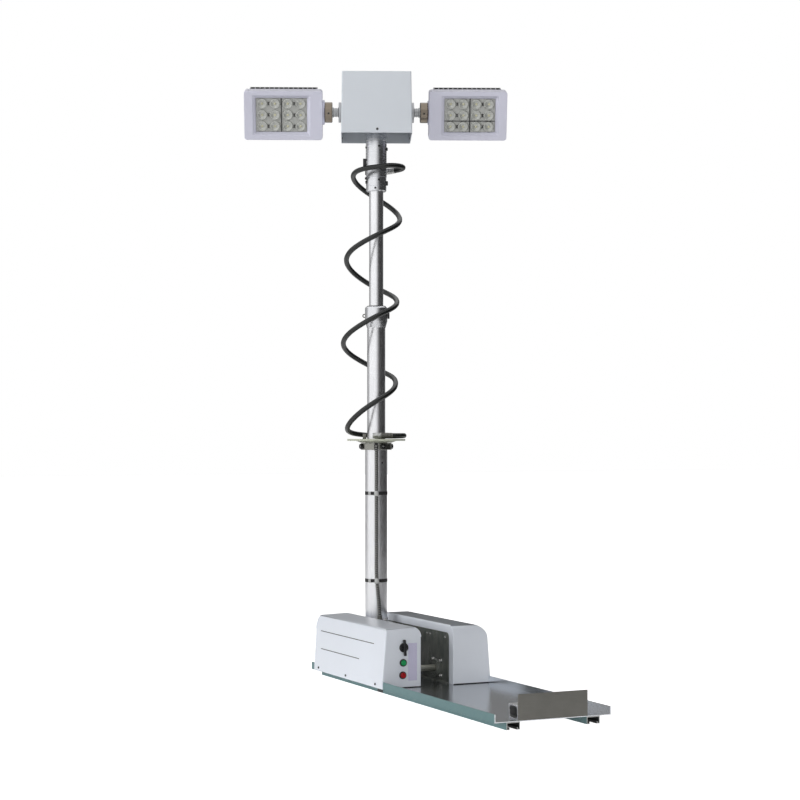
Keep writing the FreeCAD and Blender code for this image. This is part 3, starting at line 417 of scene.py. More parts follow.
def surface(name, patches, dark, light, gloss, rough, grain, strength, depth=0.0004, **settings):
    """Two tones in patches, a varying roughness and bumps; a noise is scale, stretch, detail."""
    finish = Finish(name, **settings)
    finish.colour(finish.blend(ranged(finish.noise(*patches), 0, 1), dark, light))
    finish.roughness(ranged(finish.noise(*gloss), *rough))
    finish.bump(finish.noise(*grain), strength, depth)
    return finish.material


def powder_coat(name, colour, roughness, **settings):
    """Baked paint: even in colour, with a faint orange-peel and a little dirt."""
    return surface(name, (9, EVEN, 6), scaled(colour, 0.975), colour, (14,),
                   (roughness - 0.02, roughness + 0.03), (30, EVEN, 1), 0.02, 0.0002, **settings)


def drawn_metal(name, colour, roughness, along=(1, 1, 0.02), scale=900, change=0.06, strength=0.06):
    """Metal with fine lines along the way it was drawn, brushed or turned."""
    lines = (scale, along, 3)
    return surface(name, (14, EVEN, 5), scaled(colour, 1 - change), colour, lines,
                   (roughness - 0.05, roughness + 0.07), lines, strength, 0.0003, Metallic=1.0)


def moulded(name, colour, roughness, grain, **settings):
    """Rubber or plastic from a mould, with a fine grain."""
    specks = (500, EVEN, 3)
    return surface(name, specks, scaled(colour, 0.85), scaled(colour, 1.1), (80,),
                   (roughness - 0.05, roughness + 0.06), specks, grain, **settings)


def rolled_sheet(name, colour):
    """Bright rolled aluminium with broad cloudy patches."""
    return surface(name, (5, LENGTHWISE, 2), scaled(colour, 0.93), colour, (5, LENGTHWISE, 1),
                   (0.17, 0.21), (4, (0.3, 1, 1), 1), 0.02, Metallic=1.0)


# %% The tower's finishes
white_cover = powder_coat("White cover enamel", (0.81, 0.85, 0.92), 0.30,
                          Coat_Weight=0.2, Coat_Roughness=0.2)
head_paint = powder_coat("Head box paint", (0.68, 0.72, 0.77), 0.42)
lamp_paint = powder_coat("Lamp paint", (0.68, 0.68, 0.79), 0.38)
disc_paint = powder_coat("Disc paint", (0.52, 0.54, 0.44), 0.5)
mast_metal = drawn_metal("Drawn mast tube", (0.97, 0.975, 1.0), 0.29, strength=0.03)
ring_metal = drawn_metal("Turned ring", (0.86, 0.87, 0.90), 0.26, TURNED, 350, strength=0.01)
foot_metal = drawn_metal("Turned foot", (0.95, 0.95, 0.97), 0.30, TURNED)
clamp_metal = drawn_metal("Clamp ring", (0.34, 0.34, 0.31), 0.3, TURNED, 900, 0.1)
bare_metal = drawn_metal("Machined aluminium", (0.60, 0.61, 0.60), 0.34, EVEN, 300, 0.1)
flange_metal = drawn_metal("Grey flange", (0.50, 0.51, 0.53), 0.32, EVEN, 500, 0.1)
fin_metal = drawn_metal("Cast fins", (0.42, 0.42, 0.44), 0.5, (1, 1, 0.1), 400, 0.12)
bracket_metal = drawn_metal("Bracket extrusion", (0.80, 0.81, 0.81), 0.36, (1, 0.03, 1), 500, 0.1)
sheet_metal = rolled_sheet("Rolled sheet", (0.58, 0.60, 0.62))
# A lighter copy of the rolled sheet, for faces that catch more light: painted light.
lit_sheet_copy = rolled_sheet("Sheet edge painted light", (0.90, 0.92, 0.95))
bright_steel = drawn_metal("Ground steel", (0.62, 0.62, 0.55), 0.30, (1, 0.03, 1))
shaft_steel = drawn_metal("Arm shaft", (0.42, 0.43, 0.44), 0.26, EVEN)
bright_bolt = drawn_metal("Bright bolt", (0.75, 0.75, 0.74), 0.22, EVEN, 700)
# Near-black for blackened screws, also used as painted shade in the conduit's valleys.
screw_black_and_valley_shade = drawn_metal("Blackened screw and painted valley shade", (0.07, 0.07, 0.07), 0.4, EVEN, 700)
bronze = drawn_metal("Bronze-brown collar", (0.27, 0.23, 0.185), 0.20, (0.4, 0.02, 0.4))
conduit_metal = drawn_metal("Corrugated conduit", (0.42, 0.42, 0.40), 0.34, EVEN, 400)
stop_metal = drawn_metal("Brown-grey plate", (0.255, 0.25, 0.23), 0.42, (1, 0.05, 1), 400, 0.12)
# Near-black for the rail faces that light doesn't reach: painted shade.
rail_inside_shade = moulded("Unlit rail inside", (0.03, 0.034, 0.034), 0.6, 0.05)
rubber = moulded("Black rubber", (0.018, 0.018, 0.018), 0.5, 0.2)
cable_rubber = moulded("Cable sheath", (0.008, 0.0095, 0.009), 0.30, 0.02,
                       Coat_Weight=0.2, Coat_Roughness=0.12)
black_plastic = moulded("Black plastic", (0.012, 0.012, 0.014), 0.30, 0.05)
# A darker grey for the rear housing's top faces: painted shade, as the top gets less light than the
# walls.
shaded_top_paint = powder_coat("Housing top painted shade", (0.235, 0.25, 0.275), 0.42)
green_plastic = moulded("Green button cap", (0.015, 0.36, 0.11), 0.24, 0.02)
red_plastic = moulded("Red button cap", (0.45, 0.008, 0.012), 0.28, 0.03)
# Dark casting, also used for a bar of painted shade behind the lamps' fins.
dark_cast_and_fin_shade = drawn_metal("Dark casting and painted fin shade", (0.12, 0.12, 0.12), 0.55, EVEN, 200, 0.2, 0.3)
label_plate = moulded("Blank label plate", (0.66, 0.64, 0.82), 0.35, 0.005)
stripe_ink = moulded("Black stripe", (0.03, 0.03, 0.032), 0.45, 0.02)
board_grey = moulded("Lens board", (0.46, 0.465, 0.445), 0.45, 0.02)
lens_clear = moulded("Lens cup", (0.50, 0.51, 0.48), 0.18, 0.01,
                     Metallic=0.25, Coat_Weight=0.7, Coat_Roughness=0.05)
lens_edge = moulded("Lens edge", (0.62, 0.63, 0.60), 0.10, 0.01, Metallic=0.9)
diode_cream = moulded("Diode", (0.60, 0.58, 0.40), 0.2, 0.01,
                      Coat_Weight=0.8, Coat_Roughness=0.04)


def smudged_paint():
    """Dark paint inside the trough, wiped and fingered until it shines in patches."""
    finish = Finish("Smudged dark paint")
    wipes = finish.noise(26, (1, 1, 0.5), 8, 0.65)
    specks = finish.noise(160, detail=6, rough=0.7)
    tone = finish.blend(ranged(wipes, 0, 1, 0.35, 0.7), (0.075, 0.085, 0.078), (0.21, 0.22, 0.20))
    finish.colour(finish.blend(ranged(specks, 0, 1, 0.6, 0.75), tone, (0.30, 0.32, 0.30)))
    finish.roughness(ranged(wipes, 0.42, 0.2, 0.35, 0.7))
    finish.bump(finish.noise(220, detail=3), 0.06, 0.0004)
    return finish.material


plate_paint = smudged_paint()
# A green-grey tint for the outer faces of the tray and rails: a painted reflection of green surroundings.
green_reflection_tint = surface("Green-grey painted reflection", (12, (0.2, 1, 1), 5), (0.095, 0.195, 0.205),
                     (0.115, 0.22, 0.228), (70,), (0.3, 0.42), (300, EVEN, 2), 0.05)
print("finishes:", len(bpy.data.materials))

# %% [markdown]
# ## The cable and its two glands
#
# The cable's surface is a round tube drawn along the route, made into a mesh that moves with the
# mast's base. Each gland is a turned body with a domed nut, and a ribbed sleeve eases the cable's
# first bend.

# %% Cable
def add_cable():
    mesh = curve_mesh(route, CABLE_ACROSS / 2)
    mesh.shade_smooth()
    bpy.data.objects.remove(route)
    cable = added("cable", mesh)
    mesh.materials.clear()
    mesh.materials.append(cable_rubber)
    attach(cable, "mast_base")
    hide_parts("coil_cable")
    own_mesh(cable)
    return cable


cable = add_cable()
print("cable triangles:", sum(len(p.vertices) - 2 for p in cable.data.polygons))


def gland(name, mouth, way, node, body, finish):
    """A cable gland: body, hexagon and domed nut."""
    bm = bmesh.new()
    where = facing(Vector(mouth), way) @ MILLIMETRES
    spun(bm, [(8.4, 0), (8.4, 3), (9, 3), (9.5, 2), (9.5, -5), (8.6, -6), (8.6, -24),
              (0, -24), (0, -1), (8.4, -1)], 36, closed=False)
    spun(bm, [(0, -17), (11, -17), (11, -9), (10.2, -7.6), (0, -7.6)], 6)
    settle(bm, name, where, body, finish, (node,))


def route_way(first, second):
    return (Vector(CABLE_ROUTE[second]) - Vector(CABLE_ROUTE[first])).normalized()


def relief(name, line, body, finish, count=9, first=0.0045, step=0.0042):
    """A tapered sleeve of rings along the cable's own line, from the gland outwards."""
    bm = bmesh.new()
    walked, target, number = 0.0, first, 0
    for here, ahead in zip(line, line[1:]):
        stretch = (ahead - here).length
        while number < count and walked + stretch >= target:
            spot = here.lerp(ahead, (target - walked) / stretch)
            r = 10.4 - 1.7 * number / count
            spun(bm, [(8.1, -1.6), (r - 0.5, -1.6), (r, -1), (r, 1), (r - 0.5, 1.6), (8.1, 1.6)], 24,
                 facing(spot, ahead - here) @ MILLIMETRES)
            number += 1
            target += step
        walked += stretch
    settle(bm, name, Matrix.Identity(4), body, finish)


gland("lower_gland", CABLE_ROUTE[0], route_way(0, 1), "cable_gland", "mast_base", bare_metal)
gland("upper_gland", CABLE_ROUTE[-1], route_way(-1, -2), "top_gland", "stage_upper", bright_bolt)
relief("lower_relief", route_line, "mast_base", stop_metal)
relief("upper_relief", route_line[::-1], "stage_upper", bright_bolt)
print("glands made")

# %% [markdown]
# ## Floor, light and backdrop
#
# The picture is a cut-out on white. The floor and the world show plain white to the camera and in
# reflections, and light the tower far more softly than that. Wide suns from the left, the front
# and above give the bright sides. Upright cards, which only reflections can see, give the tubes
# their dark side and their fading edge, as a photographer's black card would.

# %% Stage
def maths(operation, first, second):
    """A sum on a socket and a second socket or number."""
    node = first.id_data.nodes.new("ShaderNodeMath")
    node.operation = operation
    first.id_data.links.new(first, node.inputs[0])
    if isinstance(second, bpy.types.NodeSocket):
        first.id_data.links.new(second, node.inputs[1])
    else:
        node.inputs[1].default_value = second
    return node.outputs[0]


def add_world(level, overhead):
    """Plain light that is weaker from overhead, and white to the camera and to reflections."""
    world = bpy.data.worlds.new("Studio")
    bpy.context.scene.world = world
    world.use_nodes = True
    nodes, links = world.node_tree.nodes, world.node_tree.links
    way = nodes.new("ShaderNodeTexCoord")
    split = nodes.new("ShaderNodeSeparateXYZ")
    links.new(way.outputs["Generated"], split.inputs["Vector"])
    path = nodes.new("ShaderNodeLightPath").outputs
    seen = maths("MAXIMUM", path["Is Camera Ray"], path["Is Glossy Ray"])
    mix = nodes.new("ShaderNodeMix")
    mix.data_type = "FLOAT"
    mix.inputs[3].default_value = 1.0
    links.new(ranged(split.outputs["Z"], level, overhead, 0.05, 0.75), mix.inputs[2])
    links.new(maths("MAXIMUM", seen, path["Is Transmission Ray"]), mix.inputs[0])
    background = nodes["Background"]
    background.inputs["Color"].default_value = (1, 1, 1, 1)
    links.new(mix.outputs[0], background.inputs["Strength"])


def glowing(name, roughness, scale, dark, light):
    """A dull finish that can shine by itself."""
    finish = Finish(name, Roughness=roughness, Specular_IOR_Level=0.0, Emission_Color=(1, 1, 1, 1))
    finish.colour(finish.blend(ranged(finish.noise(scale), 0, 1), (dark,) * 3, (light,) * 3))
    return finish


def add_floor(glow, in_metal, bounce):
    """A floor that is white to the camera, grey in reflections, and throws a little light up."""
    bm = bmesh.new()
    bmesh.ops.create_grid(bm, x_segments=1, y_segments=1, size=30)
    finish = glowing("Pale floor", 0.9, 0.7, 0.86, 0.88)
    path = finish.nodes.new("ShaderNodeLightPath").outputs
    shine = maths("MULTIPLY", path["Is Glossy Ray"], in_metal)
    strength = ranged(path["Is Camera Ray"], 0, glow, 0, 1)
    finish.links.new(maths("ADD", shine, bounce), strength.node.inputs["To Min"])
    finish.links.new(strength, finish.shader.inputs["Emission Strength"])
    bare_object(bm, "Floor", finish.material)


def add_card(name, near, far, tone, far_tone=None):
    """An upright card that only reflections see, between two spots: towards the camera, and right."""
    centre = Vector((mast_spot.x, mast_spot.y, 0))
    ends = [centre + TO_CAMERA * ahead + PICTURE_RIGHT * right for ahead, right in (near, far)]
    tops = [end + Vector((0, 0, CARD_HIGH)) for end in reversed(ends)]
    bm = bmesh.new()
    bm.faces.new([bm.verts.new(place) for place in (*ends, *tops)])
    finish = glowing(f"{name} cloth", 1.0, 2, 0.01, 0.012)
    finish.shader.inputs["Emission Strength"].default_value = tone
    if far_tone is not None:
        split = finish.nodes.new("ShaderNodeSeparateXYZ")
        finish.links.new(finish.spot.outputs["Object"], split.inputs["Vector"])
        finish.links.new(ranged(split.outputs["Y"], tone, far_tone, ends[0].y, ends[1].y),
                         finish.shader.inputs["Emission Strength"])
    card = bare_object(bm, name, finish.material)
    card.visible_camera = card.visible_diffuse = card.visible_shadow = card.visible_transmission = False


def add_sun(name, way, strength, spread):
    data = bpy.data.lights.new(name, "SUN")
    data.energy = strength
    data.angle = radians(spread)
    sun = added(name, data)
    sun.rotation_mode = "QUATERNION"
    sun.rotation_quaternion = Vector(way).to_track_quat("-Z", "Y")
    sun.visible_glossy = False


bpy.context.scene.view_settings.view_transform = "Standard"
add_world(0.46, 0.135)
add_floor(0.94, 0.28, 0.14)
CARD_HIGH = 3.2
add_card("Fading card", (2.9, -0.35), (2.45, 1.75), 1.0, 0.03)
add_card("Dark card", (2.45, 1.75), (-2.6, 2.35), 0.03)
add_card("Grey card", (-2.6, 2.5), (-3.2, -3.2), 0.22)
add_card("Left edge card", (-3.2, -3.3), (-0.5, -3.6), 0.38)
add_sun("Left window", (0.15, 1.0, -0.10), 2.04, 50)
add_sun("Front fill", (-0.95, 0.3, -0.05), 1.22, 60)
add_sun("Ceiling", (0.1, 0.2, -1.0), 0.33, 90)
print("stage set")

# %% [markdown]
# ## The sheet-metal base
#
# The tray, its rails, the two housings and the rest bracket are folded or welded sheet. They could
# be drawn again, but the working model's shapes are already right, so each is copied, its corners
# are merged, and its edges are rounded to the radius of a real fold. A few faces of the tray and
# its rails take a green-grey tint, a painted reflection of green surroundings, so those faces get a
# second finish. Other faces of the tray get a lighter copy of its sheet as painted light, and the
# rails' inner faces are near-black as painted shade.

# %% Tray, rails and bracket
def second_finish(piece, finish, chosen, place=1):
    """Gives the faces that pass the test another finish."""
    piece.data.materials.append(finish)
    faces = [face for face in piece.data.polygons if chosen(face)]
    for face in faces:
        face.material_index = place
    return len(faces)


tray = dressed("tray", sheet_metal, 0.7)
# The tray's faces towards its free end and the inner face of its rear lip take the lighter copy: painted
# light.
second_finish(tray, lit_sheet_copy, lambda face: face.normal.x > 0.9 or (
    face.normal.y < -0.9 and face.center.y > tray_high.y - 0.01))
# The faces at the tray's outer sides take the painted green reflection.
reflection_tinted_faces = second_finish(tray, green_reflection_tint, lambda face: abs(face.normal.y) > 0.9 and (
    face.center.y < tray_low.y + 0.001 or face.center.y > tray_high.y - 0.001), 2)
SIDES = ("front", "rear")
# Each rail wears the painted green reflection, with painted shade on the faces inside it and bare metal
# at its ends.
for rail in [dressed(f"rail_{side}", green_reflection_tint, 0.5) for side in SIDES]:
    xs, ys = [v.co.x for v in rail.data.vertices], [v.co.y for v in rail.data.vertices]
    second_finish(rail, rail_inside_shade, lambda face: min(ys) + 0.002 < face.center.y < max(ys) - 0.002
                  and abs(face.normal.x) < 0.5)
    second_finish(rail, bare_metal, lambda face: abs(face.normal.x) > 0.9, 2)
dressed("rail_pads", rubber, 1.2)
bracket = dressed("rest_tube", bracket_metal, 0.8)
second_finish(bracket, ring_metal, lambda face: abs(face.normal.y) > 0.9)
dressed("stop_plate", stop_metal, 0.8)
print("tray faces with painted reflection:", reflection_tinted_faces)

# %% Housings and the steel inside the trough
COVER_END = 563
REAR_WALL, FRONT_WALL = 239, 123
CROSS_SHAFT = (439, 42)


def reshape_front(cover):
    """Stands the mast end up straighter and lifts the inner top edge, as on the real housing."""
    onto_tray = ON_TRAY.inverted()
    for corner in cover.data.vertices:
        spot = onto_tray @ corner.co
        if spot.x < 90:
            spot.x -= 8 * max(0, spot.z - 40) / 140
        if spot.z > 150:
            spot.z += 3.2 * min(1, max(0, (spot.y - 60) / 40))
        corner.co = ON_TRAY @ spot


def round_corners(cover, width):
    """Rounds the long upright corners of a housing's outer wall."""
    bm = bmesh.new()
    bm.from_mesh(cover.data)
    ys = [corner.co.y for corner in bm.verts]
    corners = [edge for edge in bm.edges if len(edge.link_faces) == 2 and edge.is_convex
               and edge.calc_face_angle() > 1.2 and edge.calc_length() > 0.07
               and abs((edge.verts[0].co - edge.verts[1].co).normalized().z) > 0.9
               and min(edge.verts[0].co.y - min(ys), max(ys) - edge.verts[0].co.y) < 0.016]
    bmesh.ops.bevel(bm, geom=corners, offset=width * 0.001, offset_type="OFFSET", segments=4, profile=0.5,
                    affect="EDGES", material=-1)
    bm.to_mesh(cover.data)
    bm.free()
    cover.data.set_sharp_from_angle(angle=radians(32))
    return len(corners)


covers = [dressed(f"{side}_cover", white_cover, 1.6, 3) for side in SIDES]
# The rear housing's top faces take the darker grey as painted shade.
second_finish(covers[1], shaded_top_paint, lambda face: face.normal.z > 0.9)
reshape_front(covers[0])
print("corners rounded:", round_corners(covers[0], 5))
for side in SIDES:
    dressed(f"{side}_side_plate", plate_paint, 0.6)
dressed("pivot_bearings", bare_metal, 1.5)
fittings("shaft_bosses", ON_TRAY, "base", plate_paint, turned(
    [(12, 0), (27, 0), (27, 4), (25.5, 5.5), (19, 5.5), (19, 7.5), (12, 7.5)], 48,
    *(facing((CROSS_SHAFT[0], wall, CROSS_SHAFT[1]), (0, way, 0))
      for wall, way in ((REAR_WALL, -1), (FRONT_WALL, 1)))), ("shaft_flanges",))
dressed("cross_shaft", bright_steel, 0.8)
dressed("tilt_gearmotor", dark_cast_and_fin_shade, 2.0)
dressed("compressor", dark_cast_and_fin_shade, 2.0)
print("housings:", len(covers))

# %% [markdown]
# ## Small fittings on the base
#
# Screws hold the housings to the tray's lip, four bolts hold each flange of the cross shaft, and a
# black gasket seals each housing's foot. They are too small for the working model, but the eye
# looks for them. Each kind is one piece.

# %% Screws, bolts, gaskets and stripes
def base_screws(bm):
    for along in (67, 286, 511):
        screw(bm, (along, -2.5, 12.3), (0, -1, 0), 7.5, 2.2)
        screw(bm, (along, 362.5, 12.3), (0, 1, 0), 7.5, 2.2)


def trough_bolts(bm):
    for across, way in ((FRONT_WALL + 0.5, 1), (REAR_WALL, -1)):
        for along in (419, 472):
            for up in (20, 67):
                bolt(bm, (along, across, up), (0, way, 0), 8.5, 7, 1.6)
    for along in (374, 396, 60, 500):
        screw(bm, (along, REAR_WALL, 142), (0, -1, 0), 8, 2.5)
    for along in (90, 135):
        for up in (110, 150):
            bolt(bm, (along, 227, up), (0, -1, 0), 5, 3.5, 0.8)
            bolt(bm, (along, 135, up), (0, 1, 0), 5, 3.5, 0.8)


def gaskets(bm):
    for low, high in ((3.5, 126), (235.5, 356.5)):
        block(bm, (COVER_END - 1, low, 2.6), (COVER_END + 0.9, high, 5.6), 0.4, 1)
        block(bm, (27.1, low, 2.6), (29, high, 5.6), 0.4, 1)
    block(bm, (40, 126.5, 2.6), (COVER_END - 14, 127.9, 4.8), 0.3, 1)


def stripes(bm):
    for start, end, up in ((66.5, 484, 130), (77, 381, 73.5)):
        face = -2.5 + 12 * (up + 1 - 26) / 157
        block(bm, (start, face - 0.45, up), (end, face + 0.6, up + 2.4), 0.15, 1)


def stop_screws(bm):
    for across in (86, 112):
        screw(bm, (1270, across, 62), (-1, 0, 0), 7, 2.2)


for name, slot, finish, build in (
    ("housing_screws", "dark_steel", screw_black_and_valley_shade, base_screws),
    ("trough_bolts", "bright_steel", bright_bolt, trough_bolts),
    ("housing_gaskets", "black_rubber", rubber, gaskets),
    ("front_stripes", "black_plastic", stripe_ink, stripes),
    ("stop_plate_screws", "bright_steel", bright_bolt, stop_screws),
):
    fittings(name, ON_TRAY, "base", finish, build)
print("base fittings made")

# %% [markdown]
# ## The controls
#
# A rotary selector and two 22 mm push buttons sit on the end of the front housing, beside a blank
# label plate. A button is a domed cap in a black bezel, so it is two turned shapes in two
# plastics. The selector's grip is a bevelled block whose ends are pinched in.

# %% Selector, buttons and label
def on_end(across, up):
    """A matrix for a shape built up the z axis that stands on the housing's end wall."""
    return ON_TRAY @ Matrix.Translation((COVER_END, across, up)) @ TO_FREE_END


def add_button(colour, across, up, cap_finish):
    where = on_end(across, up)
    fittings(f"{colour}_cap", where, "base", cap_finish, turned(
        [(0, 0), (8.1, 0), (8.1, 5.6), (7.5, 6.6), (6.2, 7.0), (5.6, 6.6), (0, 6.9)], 40),
        (f"{colour}_button",))
    fittings(f"{colour}_bezel", where, "base", black_plastic, turned(
        [(8.3, 0), (11.6, 0), (11.6, 2.4), (10.9, 4.2), (9.6, 5.0), (8.6, 4.6), (8.3, 3.5)], 40))


def add_selector(across, up):
    bm = bmesh.new()
    spun(bm, [(0, 0), (14.5, 0), (14.5, 2.6), (13.6, 4.4), (12, 5), (0, 5)], 48)
    half = 24.5
    grip = block(bm, (-half, -4.6, 3), (half, 4.6, 13), 2.2, 3)
    for corner in grip:
        corner.co.y *= 1 - 0.25 * (abs(corner.co.x) / half)
    bmesh.ops.rotate(bm, verts=grip, cent=(0, 0, 0), matrix=Matrix.Rotation(radians(4), 3, "Z"))
    settle(bm, "selector", on_end(across, up), "base", black_plastic,
           ("selector_switch",))


add_button("green", 66, 79, green_plastic)
add_button("red", 64.5, 41.5, red_plastic)
add_selector(68, 124.5)
fittings("blank_label", ON_TRAY, "base", label_plate,
         blocks(((COVER_END - 0.4, 83, 24), (COVER_END + 0.7, 112.5, 137), 0.35, 1)))
print("controls made")

# %% [markdown]
# ## The mast's tubes
#
# A round tube is an outline of its wall spun once round the mast. Real drawn tube has a small
# chamfer at each end, and without it the ends look like paper.

# %% Mast tubes
def tube(name, radius, wall, low, high, node, body):
    """A drawn tube with chamfered ends."""
    fittings(name, ON_MAST, body, mast_metal, turned(
        [(radius - wall, low), (radius - 0.4, low), (radius, low + 0.4), (radius, high - 0.6),
         (radius - 0.6, high), (radius - wall, high)], 96), (node,))


tube("lower_mast_tube", 36, 3, 146, 746, "lower_tube", "mast_base")
tube("middle_mast_tube", 29.5, 3, 671, 1174, "middle_tube", "stage_middle")
tube("inner_mast_tube", 23, 3, 1074, 1642, "inner_tube", "stage_upper")
dressed("mast_foot", foot_metal, 1.4)
dressed("pivot_shaft", bright_steel, 0.8)
print("tubes made")

# %% [markdown]
# ## Disc, clamp and collar
#
# The cable lies on a painted disc that a clamp ring carries. A long collar with a tapered foot
# closes the middle stage, with a wiper seal on top. All are turned, so each is one spun outline,
# and the clamp's slot for the conduit comes from the working model.

# %% Disc, clamp and collar
fittings("cable_disc", ON_MAST, "mast_base", disc_paint, turned([
    (29.6, 752), (93.6, 752), (94.5, 751.1), (94.5, 747), (93.5, 746), (66, 746), (50, 740), (36.1, 740),
    (36.1, 746.1), (32.9, 745.9), (32.9, 730.5), (29.6, 730.5)], 128), ("disc_plate",))
fittings("middle_collar_ring", ON_MAST, "stage_middle", ring_metal, turned([
    (29.6, 1114), (30.4, 1114), (36.2, 1135), (36.5, 1137), (36.5, 1174.5), (36.2, 1177.4),
    (35.2, 1179.7), (33.4, 1181.7), (31, 1182.8), (29.8, 1183), (23.1, 1183), (23.1, 1174.1),
    (29.6, 1174.1)], 96), ("middle_collar",))
fittings("wiper_seal", ON_MAST, "stage_middle", rubber, turned([
    (23.15, 1182.4), (31, 1182.4), (31.2, 1183.6), (30, 1184.8), (24, 1184.8), (23.15, 1184.2)], 96))
dressed("disc_clamp", clamp_metal, 1.0)
print("turned pieces made")

# %% Fittings on the mast
CAMERA_TURN = -25.1
CLAMP_TURNS = (25.1, 115.1, 205.1, 295.1)
COLLAR_MIDDLE = 1153


def around(turn, radius, up):
    """A matrix for a shape on the mast that points outwards, turn degrees to the picture's right."""
    way = radians(CAMERA_TURN + turn)
    return (Matrix.Translation((cos(way) * radius, sin(way) * radius, up))
            @ Matrix.Rotation(way, 4, "Z") @ TO_FREE_END)


def outwards(turn):
    return around(turn, 1, 0).to_3x3() @ Vector((0, 0, 1))


def eyelet(bm):
    circle = [tau * step / 10 for step in range(10)]
    ring = [(5 + 1.8 * cos(turn), 1.8 * sin(turn)) for turn in circle]
    spot = Matrix.Translation(around(-90, 38.5, COLLAR_MIDDLE).translation)
    spun(bm, ring, 32, spot @ Matrix.Rotation(radians(CAMERA_TURN), 4, "Z") @ TO_FREE_END)
    spun(bm, [(0, -4), (4.2, -4), (4.2, 0), (2.2, 1.5), (0, 1.5)], 16, around(-90, 34.5, COLLAR_MIDDLE))


def foot_bolts(bm):
    for turn in (26, 52, 150, 250):
        bolt(bm, around(turn, 39, 165).translation, outwards(turn), 8.5, 6, 1.4)


def mark(radius, turn, tube_radius, up):
    """What adds a small dark pin, almost flush with a tube."""
    return turned([(0, -1), (radius, -1), (radius, 0.35), (1.5, 0.5), (0, 0.2)], 16,
                  around(turn, tube_radius, up))


clamp_spots = [around(turn, 53.5, 728) for turn in CLAMP_TURNS]
knob_spot = around(90, 36, COLLAR_MIDDLE)
for name, body, slot, finish, build in (
    ("clamp_screws", "mast_base", "black_plastic", screw_black_and_valley_shade, turned(
        [(0, -3), (8.5, -3), (8.5, 3.2), (7.7, 4.4), (4.6, 4.4), (4.2, 1.4), (0, 1.4)], 28,
        *clamp_spots)),
    ("clamp_sockets", "mast_base", "bright_steel", bright_bolt, turned(
        [(0, 1), (4.1, 1), (4.1, 3.1), (3.4, 3.6), (2.1, 3.6), (1.9, 2), (0, 2)], 18,
        *clamp_spots)),
    ("foot_bolts", "mast_base", "bright_steel", bright_bolt, foot_bolts),
    ("lower_tube_marks", "mast_base", "black_plastic", screw_black_and_valley_shade, mark(2.4, 33, 35.9, 675)),
    ("disc_clip", "mast_base", "grey_plate", stop_metal, blocks(
        ((-44, -4, 751), (-32, 3, 769), 1.2, 2, Matrix.Rotation(radians(65), 4, "Z")))),
    ("collar_knob", "stage_middle", "black_plastic", black_plastic, turned(
        [(0, 1), (10, 1), (10, 6.2), (9, 7.4), (3.2, 7.4), (2.6, 6.6), (0, 6.6)], 36, knob_spot)),
    ("collar_knob_block", "stage_middle", "bare_aluminium", bare_metal,
     blocks(((-7, -7, -4), (7, 7, 1.4), 1.2, 2, knob_spot))),
    ("collar_eyelet", "stage_middle", "grey_plate", stop_metal, eyelet),
    ("middle_tube_mark", "stage_middle", "black_plastic", screw_black_and_valley_shade, mark(2.2, -26, 29.05, 1099)),
):
    fittings(name, ON_MAST, body, finish, build)
print("mast fittings made")

# %% [markdown]
# ## The conduit
#
# The lamps' supply climbs the lower tube in a corrugated steel conduit. Its ribs are real shape:
# the outline has a crest and a valley in every pitch, and the valleys are near-black as painted
# shade, so that the ribs read. Its corners are then pushed aside near the foot, where the real
# conduit swings away.

# %% Conduit and its bands
CONDUIT_OUT = 43
RIB_PITCH = 7.3
BANDS = (576, 293)


def conduit_line(up):
    """How far the conduit has swung aside, in millimetres, at a height above the tray."""
    low = max(0.0, (330 - up) / 160)
    return -11 * low * low * (3 - 2 * min(1.0, low)) if low < 1 else -11.0


def in_shaded_valley(face):
    """Whether a face lies between two ribs, where shade is painted."""
    spot = ON_HEAD.inverted() @ face.center
    return hypot(spot.x - CONDUIT_OUT, spot.y + conduit_line(spot.z)) < 5.6


def add_conduit():
    outline = [(0, 172.2)]
    up = 172.2
    while up < 734:
        outline += [(4.9, up), (7.1, up + 1.1), (7.1, up + 3.6), (4.9, up + 4.7)]
        up += RIB_PITCH
    outline += [(4.9, 740), (0, 740)]
    bm = bmesh.new()
    spun(bm, outline, 18, Matrix.Translation((CONDUIT_OUT, 0, 0)))
    for corner in bm.verts:
        corner.co.y -= conduit_line(corner.co.z)
    piece = settle(bm, "ribbed_conduit", ON_HEAD, "mast_base", conduit_metal,
                   ("conduit",), 50)
    # The faces between the ribs take the blackened screws' near-black finish: painted shade.
    second_finish(piece, screw_black_and_valley_shade, in_shaded_valley)
    return piece


def tape_bands(bm):
    for up in BANDS:
        spun(bm, [(35.9, up - 5.5), (36.7, up - 5.5), (36.9, up - 4.8), (36.9, up + 4.8),
                  (36.7, up + 5.5), (35.9, up + 5.5)], 96)


def band_clips(bm):
    for up in BANDS:
        aside = -conduit_line(up)
        block(bm, (36, aside - 7.5, up - 9), (50.5, aside + 7.5, up + 9), 1.6, 2)
        block(bm, (30, -26, up - 5.7), (37.6, -18, up + 5.7), 0.8, 1)


conduit = add_conduit()
fittings("tape_bands", ON_MAST, "mast_base", rubber, tape_bands, ("conduit_bands",))
fittings("band_clips", ON_HEAD, "mast_base", bare_metal, band_clips)
fittings("conduit_ferrule", ON_HEAD, "mast_base", stop_metal, turned(
    [(0, 166), (8, 166), (8, 174), (7.2, 175), (7.2, 181), (6, 182), (0, 182)], 24,
    Matrix.Translation((CONDUIT_OUT, -conduit_line(172), 0))))
print("conduit triangles:", sum(len(p.vertices) - 2 for p in conduit.data.polygons))

# %% [markdown]
# ## Neck and head
#
# The neck is a thick turned sleeve: narrower below, with a small gap under the part that turns.
# The head box is folded sheet, so it comes from the working model.

